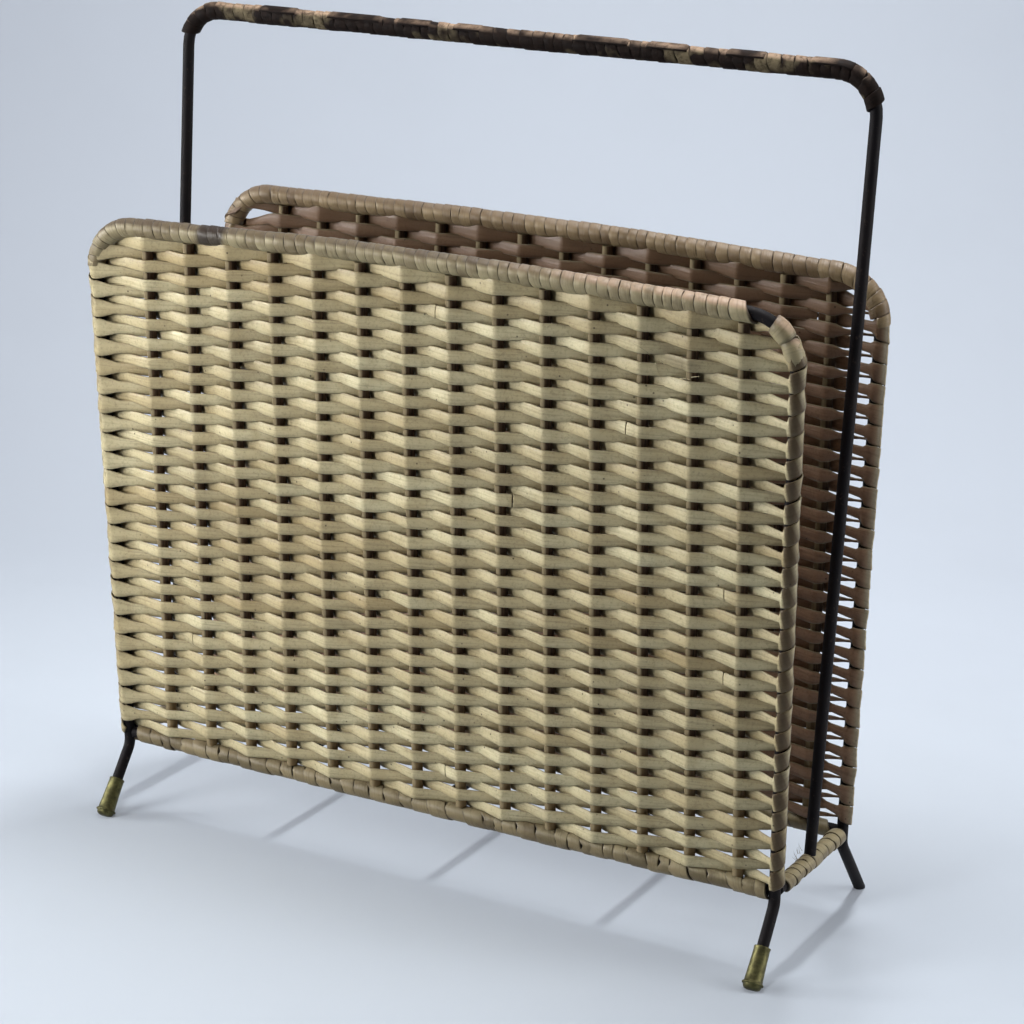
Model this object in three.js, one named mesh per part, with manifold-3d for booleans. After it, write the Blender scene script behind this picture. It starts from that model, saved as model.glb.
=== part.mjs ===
// Wicker magazine basket on a bent steel rod frame, in millimetres, +Z up.
// The floor is z = 0, X runs along the basket, and the front panel faces -Y.

import * as THREE from 'three';
import { mergeVertices } from 'three/addons/utils/BufferGeometryUtils.js';
import Module from 'manifold-3d';

const wasm = await Module();
wasm.setup();

// Frame: every rod is the same round steel, bent cold and welded
const rodDiameter = 6;
const railHeight = 42;
const panelHeight = 293.5;
const bottomWidth = 393;
const bottomShift = -1.5;
const bottomDepth = 87;
const cornerRadius = 25;
const footWidth = 393;
const footDepth = 141;
const legBendDrop = 7;
const legBendRadius = 10;

// The two panels lean outwards by different amounts, and their top rails are a little lower
// at the corners than in the middle, as the hand-bent frame is
const frontTopWidth = 400;
const frontTopShift = -3.6;
const frontLean = 16;
const frontDropLeft = 4.5;
const frontDropRight = 2.4;
const backTopWidth = 386.5;
const backTopShift = 0.65;
const backLean = 9;
const backDropLeft = 1.6;
const backDropRight = 3;
const topCrown = 0.8;
const topCrownWidth = 100;
const topCrownRadius = 600;

// Carrying handle, which leans a little to the right
const handleHeight = 439.5;
const handleTopWidth = 389;
const handleTopShift = 10.5;
const handleCornerRadius = 20;

// Floor of the basket
const crossRodCount = 3;

// Cane stakes of each panel, and how far the outer ones stand in from the posts
const stakeCount = 14;
const stakeDiameter = 6;
const stakeInsetBottomLeft = 30;
const stakeInsetTopLeft = 34;
const stakeInsetBottomRight = 20;
const stakeInsetTopRight = 27;

// Flat cane weaver, one length for each panel
const rowCount = 53;
const weaverThickness = 1.2;
const turnHeightShare = 1.6;
const tailLength = 6;

// Cane lapping: outside sizes, and how many loops each length of it makes
const topWrapDiameter = 10.2;
const railWrapDiameter = 9;
const handleWrapDiameter = 9.4;
const topWrapLoops = 24;
const gripWrapLoops = 24;
const bendWrapLoops = 4;
const bottomWrapLoops = 5;
const endWrapLoops = 5;
const loopGap = 0.6;
const loopCrownShare = 0.8;
const bareBendShare = 0.2;
const bareRailEnd = 9;
const weldRoom = 1.5;

// Ferrule on a foot
const capLength = 21;
const capTubeDiameter = 7.8;
const capCollarDiameter = 11;
const capCollarHeight = 5;
const capCollarThickness = 2;
const capDomeDiameter = 9.6;
const capSole = 2.5;
const floorFlat = 0.5;

// Clearances
const seatGap = 0.3;
const rowGap = 0.35;

// Facets
const rodSides = 8;
const stakeSides = 6;
const wrapSteps = 6;
const bendSteps = 4;
const capSegments = 12;

const rodRadius = rodDiameter / 2;
const stakeRadius = stakeDiameter / 2;

const paintedSteel = { color: 0x1a191c, roughness: 0.45, metalness: 0.3 };
const strawCane = { color: 0xb5a97f, roughness: 0.7, metalness: 0 };
const darkCane = { color: 0x5d4b3a, roughness: 0.65, metalness: 0 };
const agedBrass = { color: 0x6f6b3a, roughness: 0.4, metalness: 0.8 };

const basket = new THREE.Group();

function addPiece(name, geometry, finish) {
  const mesh = new THREE.Mesh(geometry, new THREE.MeshStandardMaterial(finish));
  mesh.name = name;
  basket.add(mesh);
}

// Closed geometry from a list of vertices and triangles
function solid(vertices, triangles) {
  const geometry = new THREE.BufferGeometry();
  geometry.setAttribute('position', new THREE.Float32BufferAttribute(vertices.flatMap((v) => v.toArray()), 3));
  geometry.setIndex(triangles.flat());
  geometry.computeVertexNormals();
  return geometry;
}

// Solid through rings, each ring counterclockwise about the way the rings run
function loft(rings) {
  const sides = rings[0].length;
  const last = (rings.length - 1) * sides;
  const triangles = [];
  for (let ring = 0; ring < rings.length - 1; ring += 1) {
    for (let k = 0; k < sides; k += 1) {
      const a = ring * sides + k;
      const b = ring * sides + ((k + 1) % sides);
      triangles.push([a, b, b + sides], [a, b + sides, a + sides]);
    }
  }
  for (let k = 1; k < sides - 1; k += 1) {
    triangles.push([0, k + 1, k], [last, last + k, last + k + 1]);
  }
  return solid(rings.flat(), triangles);
}

function direction(from, to) {
  return to.clone().sub(from).normalize();
}

function between(a, b, share) {
  return a.clone().lerp(b, share);
}

// Any unit vector square to the given one
function squareTo(vector) {
  const helper = Math.abs(vector.y) < Math.abs(vector.z) ? new THREE.Vector3(0, 1, 0) : new THREE.Vector3(0, 0, 1);
  return helper.cross(vector).normalize();
}

// Mitred rings of a round bar along points; an end can be cut level with a given plane normal
function barRings(points, radius, sides, endNormal) {
  const rings = [];
  let along = direction(points[0], points[1]);
  let across = squareTo(along);
  points.forEach((point, i) => {
    const ahead = i < points.length - 1 ? direction(point, points[i + 1]) : along;
    const cut = i === points.length - 1 && endNormal ? endNormal : along.clone().add(ahead).normalize();
    const up = along.clone().cross(across);
    const ring = [];
    for (let k = 0; k < sides; k += 1) {
      const angle = (2 * Math.PI * k) / sides;
      const spoke = across.clone().multiplyScalar(radius * Math.cos(angle));
      spoke.addScaledVector(up, radius * Math.sin(angle));
      spoke.addScaledVector(along, -spoke.dot(cut) / along.dot(cut));
      ring.push(point.clone().add(spoke));
    }
    rings.push(ring);
    across = across.clone().applyQuaternion(new THREE.Quaternion().setFromUnitVectors(along, ahead));
    along = ahead;
  });
  return rings;
}

function bar(points, radius, endNormal) {
  return loft(barRings(points, radius, rodSides, endNormal));
}

// Path along a straight line, by the distance from its start
function straightPath(start, end) {
  const along = direction(start, end);
  return {
    length: start.distanceTo(end),
    side: squareTo(along),
    at: (distance) => ({ point: start.clone().addScaledVector(along, distance), along }),
  };
}

// Path along the arc that rounds a corner with the given radius
function bendPath(before, corner, after, radius) {
  const back = direction(corner, before);
  const ahead = direction(corner, after);
  const half = back.angleTo(ahead) / 2;
  const centreWay = back.clone().add(ahead).normalize();
  const centre = corner.clone().addScaledVector(centreWay, radius / Math.sin(half));
  const start = corner.clone().addScaledVector(back, radius / Math.tan(half));
  const side = ahead.clone().cross(back).normalize();
  const spoke = start.clone().sub(centre);
  return {
    length: radius * (Math.PI - 2 * half),
    side,
    centre,
    at: (distance) => ({
      point: spoke.clone().applyAxisAngle(side, distance / radius).add(centre),
      along: back.clone().negate().applyAxisAngle(side, distance / radius),
    }),
  };
}

// Several paths in one plane, one after the other
function joinedPath(parts, side) {
  return {
    length: parts.reduce((sum, part) => sum + part.length, 0),
    side,
    at: (distance) => {
      let rest = distance;
      for (const part of parts.slice(0, -1)) {
        if (rest < part.length) return part.at(rest);
        rest -= part.length;
      }
      return parts.at(-1).at(rest);
    },
  };
}

// Stretch of a path between two shares of its length
function stretch(path, fromShare, toShare) {
  const first = path.length * fromShare;
  return {
    length: path.length * (toShare - fromShare),
    side: path.side,
    at: (distance) => path.at(first + distance),
  };
}

// Replaces the inner corners of a route with arcs of the given radii
function bentRoute(corners, radii) {
  const route = [corners[0]];
  radii.forEach((radius, i) => {
    const bend = bendPath(corners[i], corners[i + 1], corners[i + 2], radius);
    for (let step = 0; step <= bendSteps; step += 1) {
      route.push(bend.at((bend.length * step) / bendSteps).point);
    }
  });
  route.push(corners.at(-1));
  return route;
}

// A panel's own plane: x across, w up the slope from the bottom rail, n out of the basket
function makePanel(side, topWidth, topShift, lean, dropLeft, dropRight) {
  const slope = Math.hypot(panelHeight, lean);
  const up = new THREE.Vector3(0, side * lean, panelHeight).normalize();
  const out = new THREE.Vector3(0, side * panelHeight, -lean).normalize();
  const base = new THREE.Vector3(0, (side * bottomDepth) / 2, railHeight);
  const at = (x, w, n) => base.clone().setX(x).addScaledVector(up, w).addScaledVector(out, n);
  const postX = (hand, w) => {
    const low = bottomShift + (hand * bottomWidth) / 2;
    const high = topShift + (hand * topWidth) / 2;
    return low + ((high - low) * w) / slope;
  };
  // Line of the top rail: a crown over the middle, and a corner on each post
  const topLine = [
    { x: postX(-1, slope - dropLeft), w: slope - dropLeft },
    { x: -topCrownWidth / 2, w: slope + topCrown },
    { x: topCrownWidth / 2, w: slope + topCrown },
    { x: postX(1, slope - dropRight), w: slope - dropRight },
  ];
  const topW = (x) => {
    const [corner, crown] = x < 0 ? topLine : topLine.toReversed();
    const share = THREE.MathUtils.clamp((x - crown.x) / (corner.x - crown.x), 0, 1);
    return THREE.MathUtils.lerp(crown.w, corner.w, share);
  };
  const topCorners = topLine.map(({ x, w }) => at(x, w, 0));
  const stakeX = (index, w) => {
    const insetLeft = THREE.MathUtils.lerp(stakeInsetBottomLeft, stakeInsetTopLeft, w / slope);
    const insetRight = THREE.MathUtils.lerp(stakeInsetBottomRight, stakeInsetTopRight, w / slope);
    const share = index / (stakeCount - 1);
    return THREE.MathUtils.lerp(postX(-1, w) + insetLeft, postX(1, w) - insetRight, share);
  };
  return { side, slope, up, out, base, at, postX, stakeX, topW, topCorners };
}

const frontPanel = makePanel(-1, frontTopWidth, frontTopShift, frontLean, frontDropLeft, frontDropRight);
const backPanel = makePanel(1, backTopWidth, backTopShift, backLean, backDropLeft, backDropRight);

// Where a leg touches the floor, and where it leaves the line of its post
function footPoint(panel, hand) {
  return new THREE.Vector3((hand * footWidth) / 2, (panel.side * footDepth) / 2, 0);
}

function legBend(panel, hand) {
  return panel.at(panel.postX(hand, 0), -legBendDrop, 0);
}

// Arc of the rod between a post and the top rail
function cornerBend(panel, hand) {
  const [corner, next] = hand < 0 ? panel.topCorners : panel.topCorners.toReversed();
  return bendPath(legBend(panel, hand), corner, next, cornerRadius);
}

// One rod makes both legs, both posts and the top rail of a panel
function frameRod(panel, leftStop, rightStop) {
  const feet = [-1, 1].map((hand) => {
    const foot = footPoint(panel, hand);
    const stop = hand < 0 ? leftStop : rightStop;
    return foot.addScaledVector(direction(foot, legBend(panel, hand)), stop);
  });
  const corners = [feet[0], legBend(panel, -1), ...panel.topCorners, legBend(panel, 1), feet[1]];
  const radii = [legBendRadius, cornerRadius, topCrownRadius, topCrownRadius, cornerRadius, legBendRadius];
  const route = bentRoute(corners, radii);
  const levelCut = rightStop === 0 ? new THREE.Vector3(0, 0, -1) : undefined;
  return bar(route, rodRadius, levelCut);
}

function bottomRail(panel) {
  const reach = rodRadius + seatGap;
  const ends = [-1, 1].map((hand) => panel.at(panel.postX(hand, 0) - hand * reach, 0, 0));
  return bar(ends, rodRadius);
}

function endRail(hand) {
  const x = frontPanel.postX(hand, 0);
  const reach = bottomDepth / 2 - rodRadius - seatGap;
  const ends = [-1, 1].map((side) => new THREE.Vector3(x, side * reach, railHeight));
  return bar(ends, rodRadius);
}

function crossRodX(index) {
  const left = frontPanel.postX(-1, 0);
  const right = frontPanel.postX(1, 0);
  return THREE.MathUtils.lerp(left, right, (index + 1) / (crossRodCount + 1));
}

function crossRod(index) {
  const reach = bottomDepth / 2 - rodRadius - seatGap;
  const ends = [-1, 1].map((side) => new THREE.Vector3(crossRodX(index), side * reach, railHeight));
  return bar(ends, rodRadius);
}

// The handle stands on the middle of both end rails
const handleFootHeight = railHeight + rodRadius + seatGap;
const handleCorners = [
  new THREE.Vector3(frontPanel.postX(-1, 0), 0, handleFootHeight),
  new THREE.Vector3(handleTopShift - handleTopWidth / 2, 0, handleHeight),
  new THREE.Vector3(handleTopShift + handleTopWidth / 2, 0, handleHeight),
  new THREE.Vector3(frontPanel.postX(1, 0), 0, handleFootHeight),
];

const handleBends = [0, 1].map((i) => bendPath(...handleCorners.slice(i, i + 3), handleCornerRadius));

// Flat cane wound round a rod in one unbroken length, its edges worn down
function winding(path, diameter, loops, innerRadius, name) {
  const pitch = (path.length + loopGap) / (loops + 1);
  const width = pitch - loopGap;
  const inner = innerRadius / Math.cos(Math.PI / wrapSteps);
  const rings = [];
  for (let step = 0; step <= loops * wrapSteps; step += 1) {
    const turn = (2 * Math.PI * step) / wrapSteps;
    const middle = width / 2 + (pitch * step) / wrapSteps;
    const pointAt = (distance, radius) => {
      const { point, along } = path.at(distance);
      const up = along.clone().cross(path.side);
      point.addScaledVector(path.side, radius * Math.cos(turn));
      return point.addScaledVector(up, radius * Math.sin(turn));
    };
    const crown = (width / 2) * loopCrownShare;
    rings.push([
      pointAt(middle - width / 2, inner),
      pointAt(middle + width / 2, inner),
      pointAt(middle + crown, diameter / 2),
      pointAt(middle - crown, diameter / 2),
    ]);
  }
  console.log(`${name} least gap to itself ${leastLoopGap(rings).toFixed(2)} mm`);
  return loft(rings);
}

// Smallest distance between the corners of rings one loop apart
function leastLoopGap(rings) {
  let least = Infinity;
  for (let i = 0; i + wrapSteps < rings.length; i += 1) {
    for (const point of rings[i]) {
      for (const other of rings[i + wrapSteps]) {
        least = Math.min(least, point.distanceTo(other));
      }
    }
  }
  return least;
}

// The lapping of a top rail lies between the arcs of its corners
function topWrap(panel, name) {
  const corners = panel.topCorners;
  const [start, end] = [-1, 1].map((hand) => {
    const bend = cornerBend(panel, hand);
    const { point, along } = bend.at(bend.length);
    return point.addScaledVector(along, seatGap);
  });
  const [left, right] = [0, 1].map((i) => bendPath(...corners.slice(i, i + 3), topCrownRadius));
  const parts = [
    straightPath(start, left.at(0).point),
    left,
    straightPath(left.at(left.length).point, right.at(0).point),
    right,
    straightPath(right.at(right.length).point, end),
  ];
  const path = joinedPath(parts, panel.out);
  return winding(path, topWrapDiameter, topWrapLoops, rodRadius + seatGap, name);
}

// The lapping of a bottom rail stops beside each cross rod
function bottomWrap(panel, bay, name) {
  const room = rodRadius + weldRoom;
  const left = bay === 0 ? panel.postX(-1, 0) + bareRailEnd : crossRodX(bay - 1) + room;
  const right = bay === crossRodCount ? panel.postX(1, 0) - bareRailEnd : crossRodX(bay) - room;
  const path = straightPath(panel.at(left, 0, 0), panel.at(right, 0, 0));
  return winding(path, railWrapDiameter, bottomWrapLoops, rodRadius + seatGap, name);
}

// The lapping of an end rail stops on both sides of the handle's foot
function endWrap(hand, side, name) {
  const x = frontPanel.postX(hand, 0);
  const inner = rodRadius + weldRoom;
  const outer = bottomDepth / 2 - bareRailEnd;
  const start = new THREE.Vector3(x, side > 0 ? inner : -outer, railHeight);
  const end = new THREE.Vector3(x, side > 0 ? outer : -inner, railHeight);
  return winding(straightPath(start, end), railWrapDiameter, endWrapLoops, rodRadius + seatGap, name);
}

// The grip's lapping lies on the straight bar between the handle's bends
function gripWrap(name) {
  const [left, right] = [handleBends[0].at(handleBends[0].length), handleBends[1].at(0)];
  const path = straightPath(left.point.addScaledVector(left.along, loopGap), right.point);
  return winding(path, handleWrapDiameter, gripWrapLoops, rodRadius + seatGap, name);
}

// In a bend the loops are short and stand off enough to clear the rod's inner side
function bendWrap(bend, fromShare, toShare, name) {
  const path = stretch(bend, fromShare, toShare);
  const loopLength = path.length / (bendWrapLoops + 1);
  const sagitta = (loopLength * loopLength) / (8 * handleCornerRadius);
  return winding(path, handleWrapDiameter, bendWrapLoops, rodRadius + seatGap + sagitta, name);
}

const lowestWeave = railWrapDiameter / 2 + seatGap;

function highestWeave(panel, x) {
  return panel.topW(x) - topWrapDiameter / 2 - seatGap;
}

function stake(panel, index) {
  const high = highestWeave(panel, panel.stakeX(index, panel.slope));
  const foot = panel.at(panel.stakeX(index, lowestWeave), lowestWeave, 0);
  const head = panel.at(panel.stakeX(index, high), high, 0);
  return loft(barRings([foot, head], stakeRadius, stakeSides));
}

// Centre and slope of a post at height w; its last stretch follows the corner's arc
function postAt(panel, hand, w) {
  const { centre } = cornerBend(panel, hand);
  const rise = w - centre.clone().sub(panel.base).dot(panel.up);
  if (rise <= 0) return { x: panel.postX(hand, w), lean: 0 };
  const lean = Math.asin(Math.min(1, rise / cornerRadius));
  return { x: centre.x + hand * cornerRadius * Math.cos(lean), lean };
}

// Rings of a turn round a post are the corners of a polygon round its section.
// The incoming and outgoing spans run from the last stake's far side and just clear the post,
// which a row meets aslant where the post bends into the top corner.
function turnCorners(span, stakeOffset, lean) {
  const clear = (rodRadius + rowGap + weaverThickness / 2) / Math.cos(lean);
  const bearing = Math.PI + Math.atan2(stakeOffset, span);
  const reach = Math.hypot(span, stakeOffset);
  const firstNormal = bearing - Math.acos(clear / reach);
  const step = (2 * firstNormal) / 3;
  const radius = clear / Math.cos(step / 2);
  return [firstNormal - step / 2, 0, step / 2 - firstNormal].map((angle) => ({
    outward: radius * Math.cos(angle),
    forward: radius * Math.sin(angle),
  }));
}

// Sideways reach of the weaver at a stake, so that its straight spans clear the next stakes
function stakeReach(pitch) {
  const clear = stakeRadius + rowGap + weaverThickness / 2;
  return (clear * pitch) / Math.sqrt(pitch * pitch - 4 * clear * clear);
}

// Stations of the weaver: one at each stake, three round each post between two rows
function weaverStations(panel) {
  const low = lowestWeave;
  const pitchAt = (x) => (highestWeave(panel, x) - low) / rowCount;
  const rowAt = (row, x) => low + pitchAt(x) * (row + 1 / 2);
  const postPitch = (hand) => pitchAt(panel.postX(hand, panel.slope));
  const postRow = (row, hand) => low + postPitch(hand) * (row + 1 / 2);
  const height = Math.min(postPitch(-1), postPitch(1)) - rowGap;
  const stations = [];

  const addTurn = (row, hand, corners) => {
    corners.forEach((corner, i) => {
      const level = postRow(row, hand) + (postPitch(hand) * i) / 2;
      const post = postAt(panel, hand, level);
      const lift = corner.outward * Math.sin(post.lean);
      const centre = postAt(panel, hand, level - lift);
      const x = centre.x + hand * corner.outward * Math.cos(centre.lean);
      const up = panel.up.clone().multiplyScalar(Math.cos(centre.lean));
      up.x -= hand * Math.sin(centre.lean);
      const tall = corner.forward === 0 ? turnHeightShare : 1;
      stations.push({ point: panel.at(x, level, corner.forward), up, height: height * tall });
    });
  };

  for (let row = 0; row < rowCount; row += 1) {
    const middle = rowAt(row, 0);
    const hand = row % 2 === 0 ? 1 : -1;
    const reach = stakeReach(panel.stakeX(1, middle) - panel.stakeX(0, middle));
    const cornersAt = (end) => {
      const w = postRow(row, end);
      const post = postAt(panel, end, w);
      const lastStakeX = panel.stakeX(end > 0 ? stakeCount - 1 : 0, w);
      return turnCorners(Math.abs(post.x - lastStakeX), reach, post.lean);
    };
    if (row === 0) {
      const corner = cornersAt(-1).at(-1);
      const w = postRow(row, -1);
      const x = postAt(panel, -1, w).x - corner.outward;
      stations.push({ point: panel.at(x, w, corner.forward), up: panel.up, height });
    }
    for (let i = 0; i < stakeCount; i += 1) {
      const index = hand > 0 ? i : stakeCount - 1 - i;
      const face = (index + row) % 2 === 0 ? 1 : -1;
      const w = rowAt(row, panel.stakeX(index, middle));
      stations.push({ point: panel.at(panel.stakeX(index, w), w, face * reach), up: panel.up, height });
    }
    if (row < rowCount - 1) {
      addTurn(row, hand, cornersAt(hand));
    } else {
      const tail = stations.at(-1).point.clone();
      tail.x += hand * tailLength;
      stations.push({ point: tail, up: panel.up, height });
    }
  }
  return stations;
}

// Half-round band through its stations, mitred so that it keeps its thickness
function weaver(panel) {
  const stations = weaverStations(panel);
  const rings = stations.map((station, i) => {
    const { point, up, height } = station;
    const before = i > 0 ? direction(stations[i - 1].point, point) : undefined;
    const after = i < stations.length - 1 ? direction(point, stations[i + 1].point) : undefined;
    const sideIn = (before ?? after).clone().cross(up).normalize();
    const sideOut = (after ?? before).clone().cross(up).normalize();
    const side = sideIn.clone().add(sideOut).normalize();
    const thick = weaverThickness / 2 / side.dot(sideIn);
    const flat = point.clone().addScaledVector(side, -thick);
    return [
      flat.clone().addScaledVector(up, -height / 2),
      flat.clone().addScaledVector(up, height / 2),
      point.clone().addScaledVector(side, thick),
    ];
  });
  return loft(rings);
}

// Turns a closed geometry into a solid that can be cut, and back
function toManifold(geometry) {
  const bare = geometry.clone();
  bare.deleteAttribute('normal');
  bare.deleteAttribute('uv');
  const merged = mergeVertices(bare);
  return new wasm.Manifold(new wasm.Mesh({
    numProp: 3,
    vertProperties: merged.attributes.position.array,
    triVerts: new Uint32Array(merged.index.array),
  }));
}

function fromManifold(shape) {
  const { vertProperties, triVerts } = shape.getMesh();
  const geometry = new THREE.BufferGeometry();
  geometry.setAttribute('position', new THREE.BufferAttribute(vertProperties, 3));
  geometry.setIndex(new THREE.BufferAttribute(triVerts, 1));
  geometry.computeVertexNormals();
  return geometry;
}

// Ferrule: a slim tube with a collar and a domed sole, worn flat where it meets the floor
function footCap(panel, hand) {
  const domeRadius = capDomeDiameter / 2;
  const tubeRadius = capTubeDiameter / 2;
  const collarRadius = capCollarDiameter / 2;
  const boreRadius = (rodRadius + seatGap) / Math.cos(Math.PI / rodSides);
  const collarTop = capCollarHeight + capCollarThickness / 2;
  const collarBottom = capCollarHeight - capCollarThickness / 2;
  const profile = [
    new THREE.Vector2(0, 0),
    new THREE.Vector2(domeRadius * Math.sin(Math.PI / 6), domeRadius * (1 - Math.cos(Math.PI / 6))),
    new THREE.Vector2(domeRadius * Math.sin(Math.PI / 3), domeRadius * (1 - Math.cos(Math.PI / 3))),
    new THREE.Vector2(collarRadius, collarBottom),
    new THREE.Vector2(collarRadius, collarTop),
    new THREE.Vector2(tubeRadius, collarTop),
    new THREE.Vector2(tubeRadius, capLength),
    new THREE.Vector2(boreRadius, capLength),
    new THREE.Vector2(boreRadius, floorFlat + capSole),
    new THREE.Vector2(0, floorFlat + capSole),
  ];
  const cap = new THREE.LatheGeometry(profile, capSegments);
  const foot = footPoint(panel, hand);
  const axis = direction(foot, legBend(panel, hand));
  const turn = new THREE.Quaternion().setFromUnitVectors(new THREE.Vector3(0, 1, 0), axis);
  const domeCentreHeight = domeRadius - floorFlat;
  const drop = foot.clone().addScaledVector(axis, domeCentreHeight / axis.z - domeRadius);
  cap.applyQuaternion(turn);
  cap.translate(drop.x, drop.y, drop.z);
  const floorBlock = new THREE.BoxGeometry(footWidth, footWidth, capLength);
  floorBlock.translate(foot.x, foot.y, -capLength / 2);
  return fromManifold(toManifold(cap).subtract(toManifold(floorBlock)));
}

// Along a leg's axis: from the floor point to where its rod stops inside the ferrule
function rodStop(panel, hand) {
  const domeRadius = capDomeDiameter / 2;
  const axis = direction(footPoint(panel, hand), legBend(panel, hand));
  return (domeRadius - floorFlat) / axis.z - domeRadius + floorFlat + capSole + seatGap;
}

addPiece('front_frame_rod', frameRod(frontPanel, rodStop(frontPanel, -1), rodStop(frontPanel, 1)), paintedSteel);
addPiece('back_frame_rod', frameRod(backPanel, rodStop(backPanel, -1), 0), paintedSteel);
addPiece('front_bottom_rail', bottomRail(frontPanel), paintedSteel);
addPiece('back_bottom_rail', bottomRail(backPanel), paintedSteel);
addPiece('left_end_rail', endRail(-1), paintedSteel);
addPiece('right_end_rail', endRail(1), paintedSteel);
for (let i = 0; i < crossRodCount; i += 1) {
  addPiece(`cross_rod_${i + 1}`, crossRod(i), paintedSteel);
}
const handleRoute = bentRoute(handleCorners, [handleCornerRadius, handleCornerRadius]);
addPiece('handle_rod', bar(handleRoute, rodRadius), paintedSteel);
addPiece('handle_wrap_grip', gripWrap('handle_wrap_grip'), darkCane);
addPiece('handle_wrap_left', bendWrap(handleBends[0], bareBendShare, 1, 'handle_wrap_left'), darkCane);
addPiece('handle_wrap_right', bendWrap(handleBends[1], 0, 1 - bareBendShare, 'handle_wrap_right'), darkCane);

addPiece('front_left_foot_cap', footCap(frontPanel, -1), agedBrass);
addPiece('front_right_foot_cap', footCap(frontPanel, 1), agedBrass);
addPiece('back_left_foot_cap', footCap(backPanel, -1), agedBrass);

for (const [panelName, panel] of [['front', frontPanel], ['back', backPanel]]) {
  for (let i = 0; i < stakeCount; i += 1) {
    addPiece(`${panelName}_stake_${i + 1}`, stake(panel, i), strawCane);
  }
  addPiece(`${panelName}_weaver`, weaver(panel), strawCane);
  addPiece(`${panelName}_top_wrap`, topWrap(panel, `${panelName}_top_wrap`), strawCane);
  for (let bay = 0; bay <= crossRodCount; bay += 1) {
    const name = `${panelName}_bottom_wrap_${bay + 1}`;
    addPiece(name, bottomWrap(panel, bay, name), strawCane);
  }
}

for (const [endName, hand] of [['left', -1], ['right', 1]]) {
  for (const [sideName, side] of [['front', -1], ['back', 1]]) {
    const name = `${endName}_end_wrap_${sideName}`;
    addPiece(name, endWrap(hand, side, name), strawCane);
  }
}

// The origin is the middle of the basket's outline on the floor
const outline = new THREE.Box3().setFromObject(basket);
const middle = outline.getCenter(new THREE.Vector3());
basket.position.set(-middle.x, -middle.y, -outline.min.z);

export default basket;
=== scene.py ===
"""Wicker magazine basket on a bent steel rod frame.

The frame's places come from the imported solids. Every visible piece is modelled here around them:
painted rods, brass ferrules, cane stakes, the woven cane of both panels and the lapping of rails and handle.
"""

import math
import random

import bpy
from bpy.props import FloatProperty, FloatVectorProperty, IntProperty, PointerProperty
from mathutils import Matrix, Quaternion, Vector, noise


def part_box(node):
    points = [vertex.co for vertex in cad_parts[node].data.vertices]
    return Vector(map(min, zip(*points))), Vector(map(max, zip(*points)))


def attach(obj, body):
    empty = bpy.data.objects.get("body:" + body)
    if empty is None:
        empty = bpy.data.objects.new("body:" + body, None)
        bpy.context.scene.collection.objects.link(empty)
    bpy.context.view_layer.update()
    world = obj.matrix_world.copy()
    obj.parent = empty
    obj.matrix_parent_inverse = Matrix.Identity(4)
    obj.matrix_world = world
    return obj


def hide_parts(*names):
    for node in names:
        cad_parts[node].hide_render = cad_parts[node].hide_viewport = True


bl_info = {
    "name": "Wicker magazine basket",
    "version": (1, 0, 0),
    "blender": (4, 5, 0),
    "location": "3D View > Sidebar > Basket",
    "description": "Models a woven magazine basket on a bent rod frame, with its stage",
    "category": "Add Mesh",
}

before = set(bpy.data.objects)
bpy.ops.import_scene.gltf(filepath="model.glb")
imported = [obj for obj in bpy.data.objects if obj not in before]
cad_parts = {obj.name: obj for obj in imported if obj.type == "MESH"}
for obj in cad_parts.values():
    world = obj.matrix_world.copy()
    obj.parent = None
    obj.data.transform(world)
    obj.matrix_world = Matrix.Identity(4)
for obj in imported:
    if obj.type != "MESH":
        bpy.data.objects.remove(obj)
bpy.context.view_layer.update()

MM = 0.001
UP = Vector((0, 0, 1))


def linear(hex_colour):
    """Turns an sRGB hex colour into the linear values that Blender works in."""
    channels = [int(hex_colour[i : i + 2], 16) / 255 for i in (0, 2, 4)]
    return [c / 12.92 if c <= 0.04045 else ((c + 0.055) / 1.055) ** 2.4 for c in channels]


def node_centre(name):
    """Middle of a CAD node's box."""
    low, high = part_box(name)
    return (low + high) / 2


def length_prop(name, default, text):
    """A length that a user can change. Its default is given in millimetres."""
    return FloatProperty(name=name, default=default * MM, description=text, unit="LENGTH", precision=5)


def colour_prop(name, default, text):
    """A colour that a user can change. Its default is given as sRGB hex."""
    return FloatVectorProperty(name=name, default=linear(default), description=text, subtype="COLOR", size=3)


def angle_prop(name, default, text):
    """An angle that a user can change."""
    return FloatProperty(name=name, default=default, description=f"{text}, in degrees")


# Places taken from the frame
LEFT_RAIL = node_centre("left_end_rail")
RIGHT_RAIL = node_centre("right_end_rail")
FLOOR_MIDDLE = Vector(((LEFT_RAIL.x + RIGHT_RAIL.x) / 2, LEFT_RAIL.y, 0))
RAIL_HEIGHT = LEFT_RAIL.z
BOTTOM_WIDTH = RIGHT_RAIL.x - LEFT_RAIL.x
BOTTOM_DEPTH = node_centre("back_bottom_rail").y - node_centre("front_bottom_rail").y
# The rails' middle lies this far from the middle of the feet and of the panels' tops
BOTTOM_SHIFT = -1.5 * MM
FEET_MIDDLE_X = FLOOR_MIDDLE.x - BOTTOM_SHIFT

# Gap between a rod and what stands on it or is wound round it
SEAT_GAP = 0.3 * MM
# A capped leg's rod ends this far up, inside its ferrule, and a bare one is worn level close to the floor
CAPPED_STOP = 5 * MM
WORN_FOOT = 0.2 * MM
# Feet that still have their ferrule, by panel and hand
CAPPED_FEET = {("front", -1): "front_left", ("front", 1): "front_right", ("back", -1): "back_left"}
# From a post to its nearest stake, at the bottom and how much more at the top, in millimetres
EDGE_GAPS = {-1: (30, 4), 1: (20, 7)}


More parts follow.
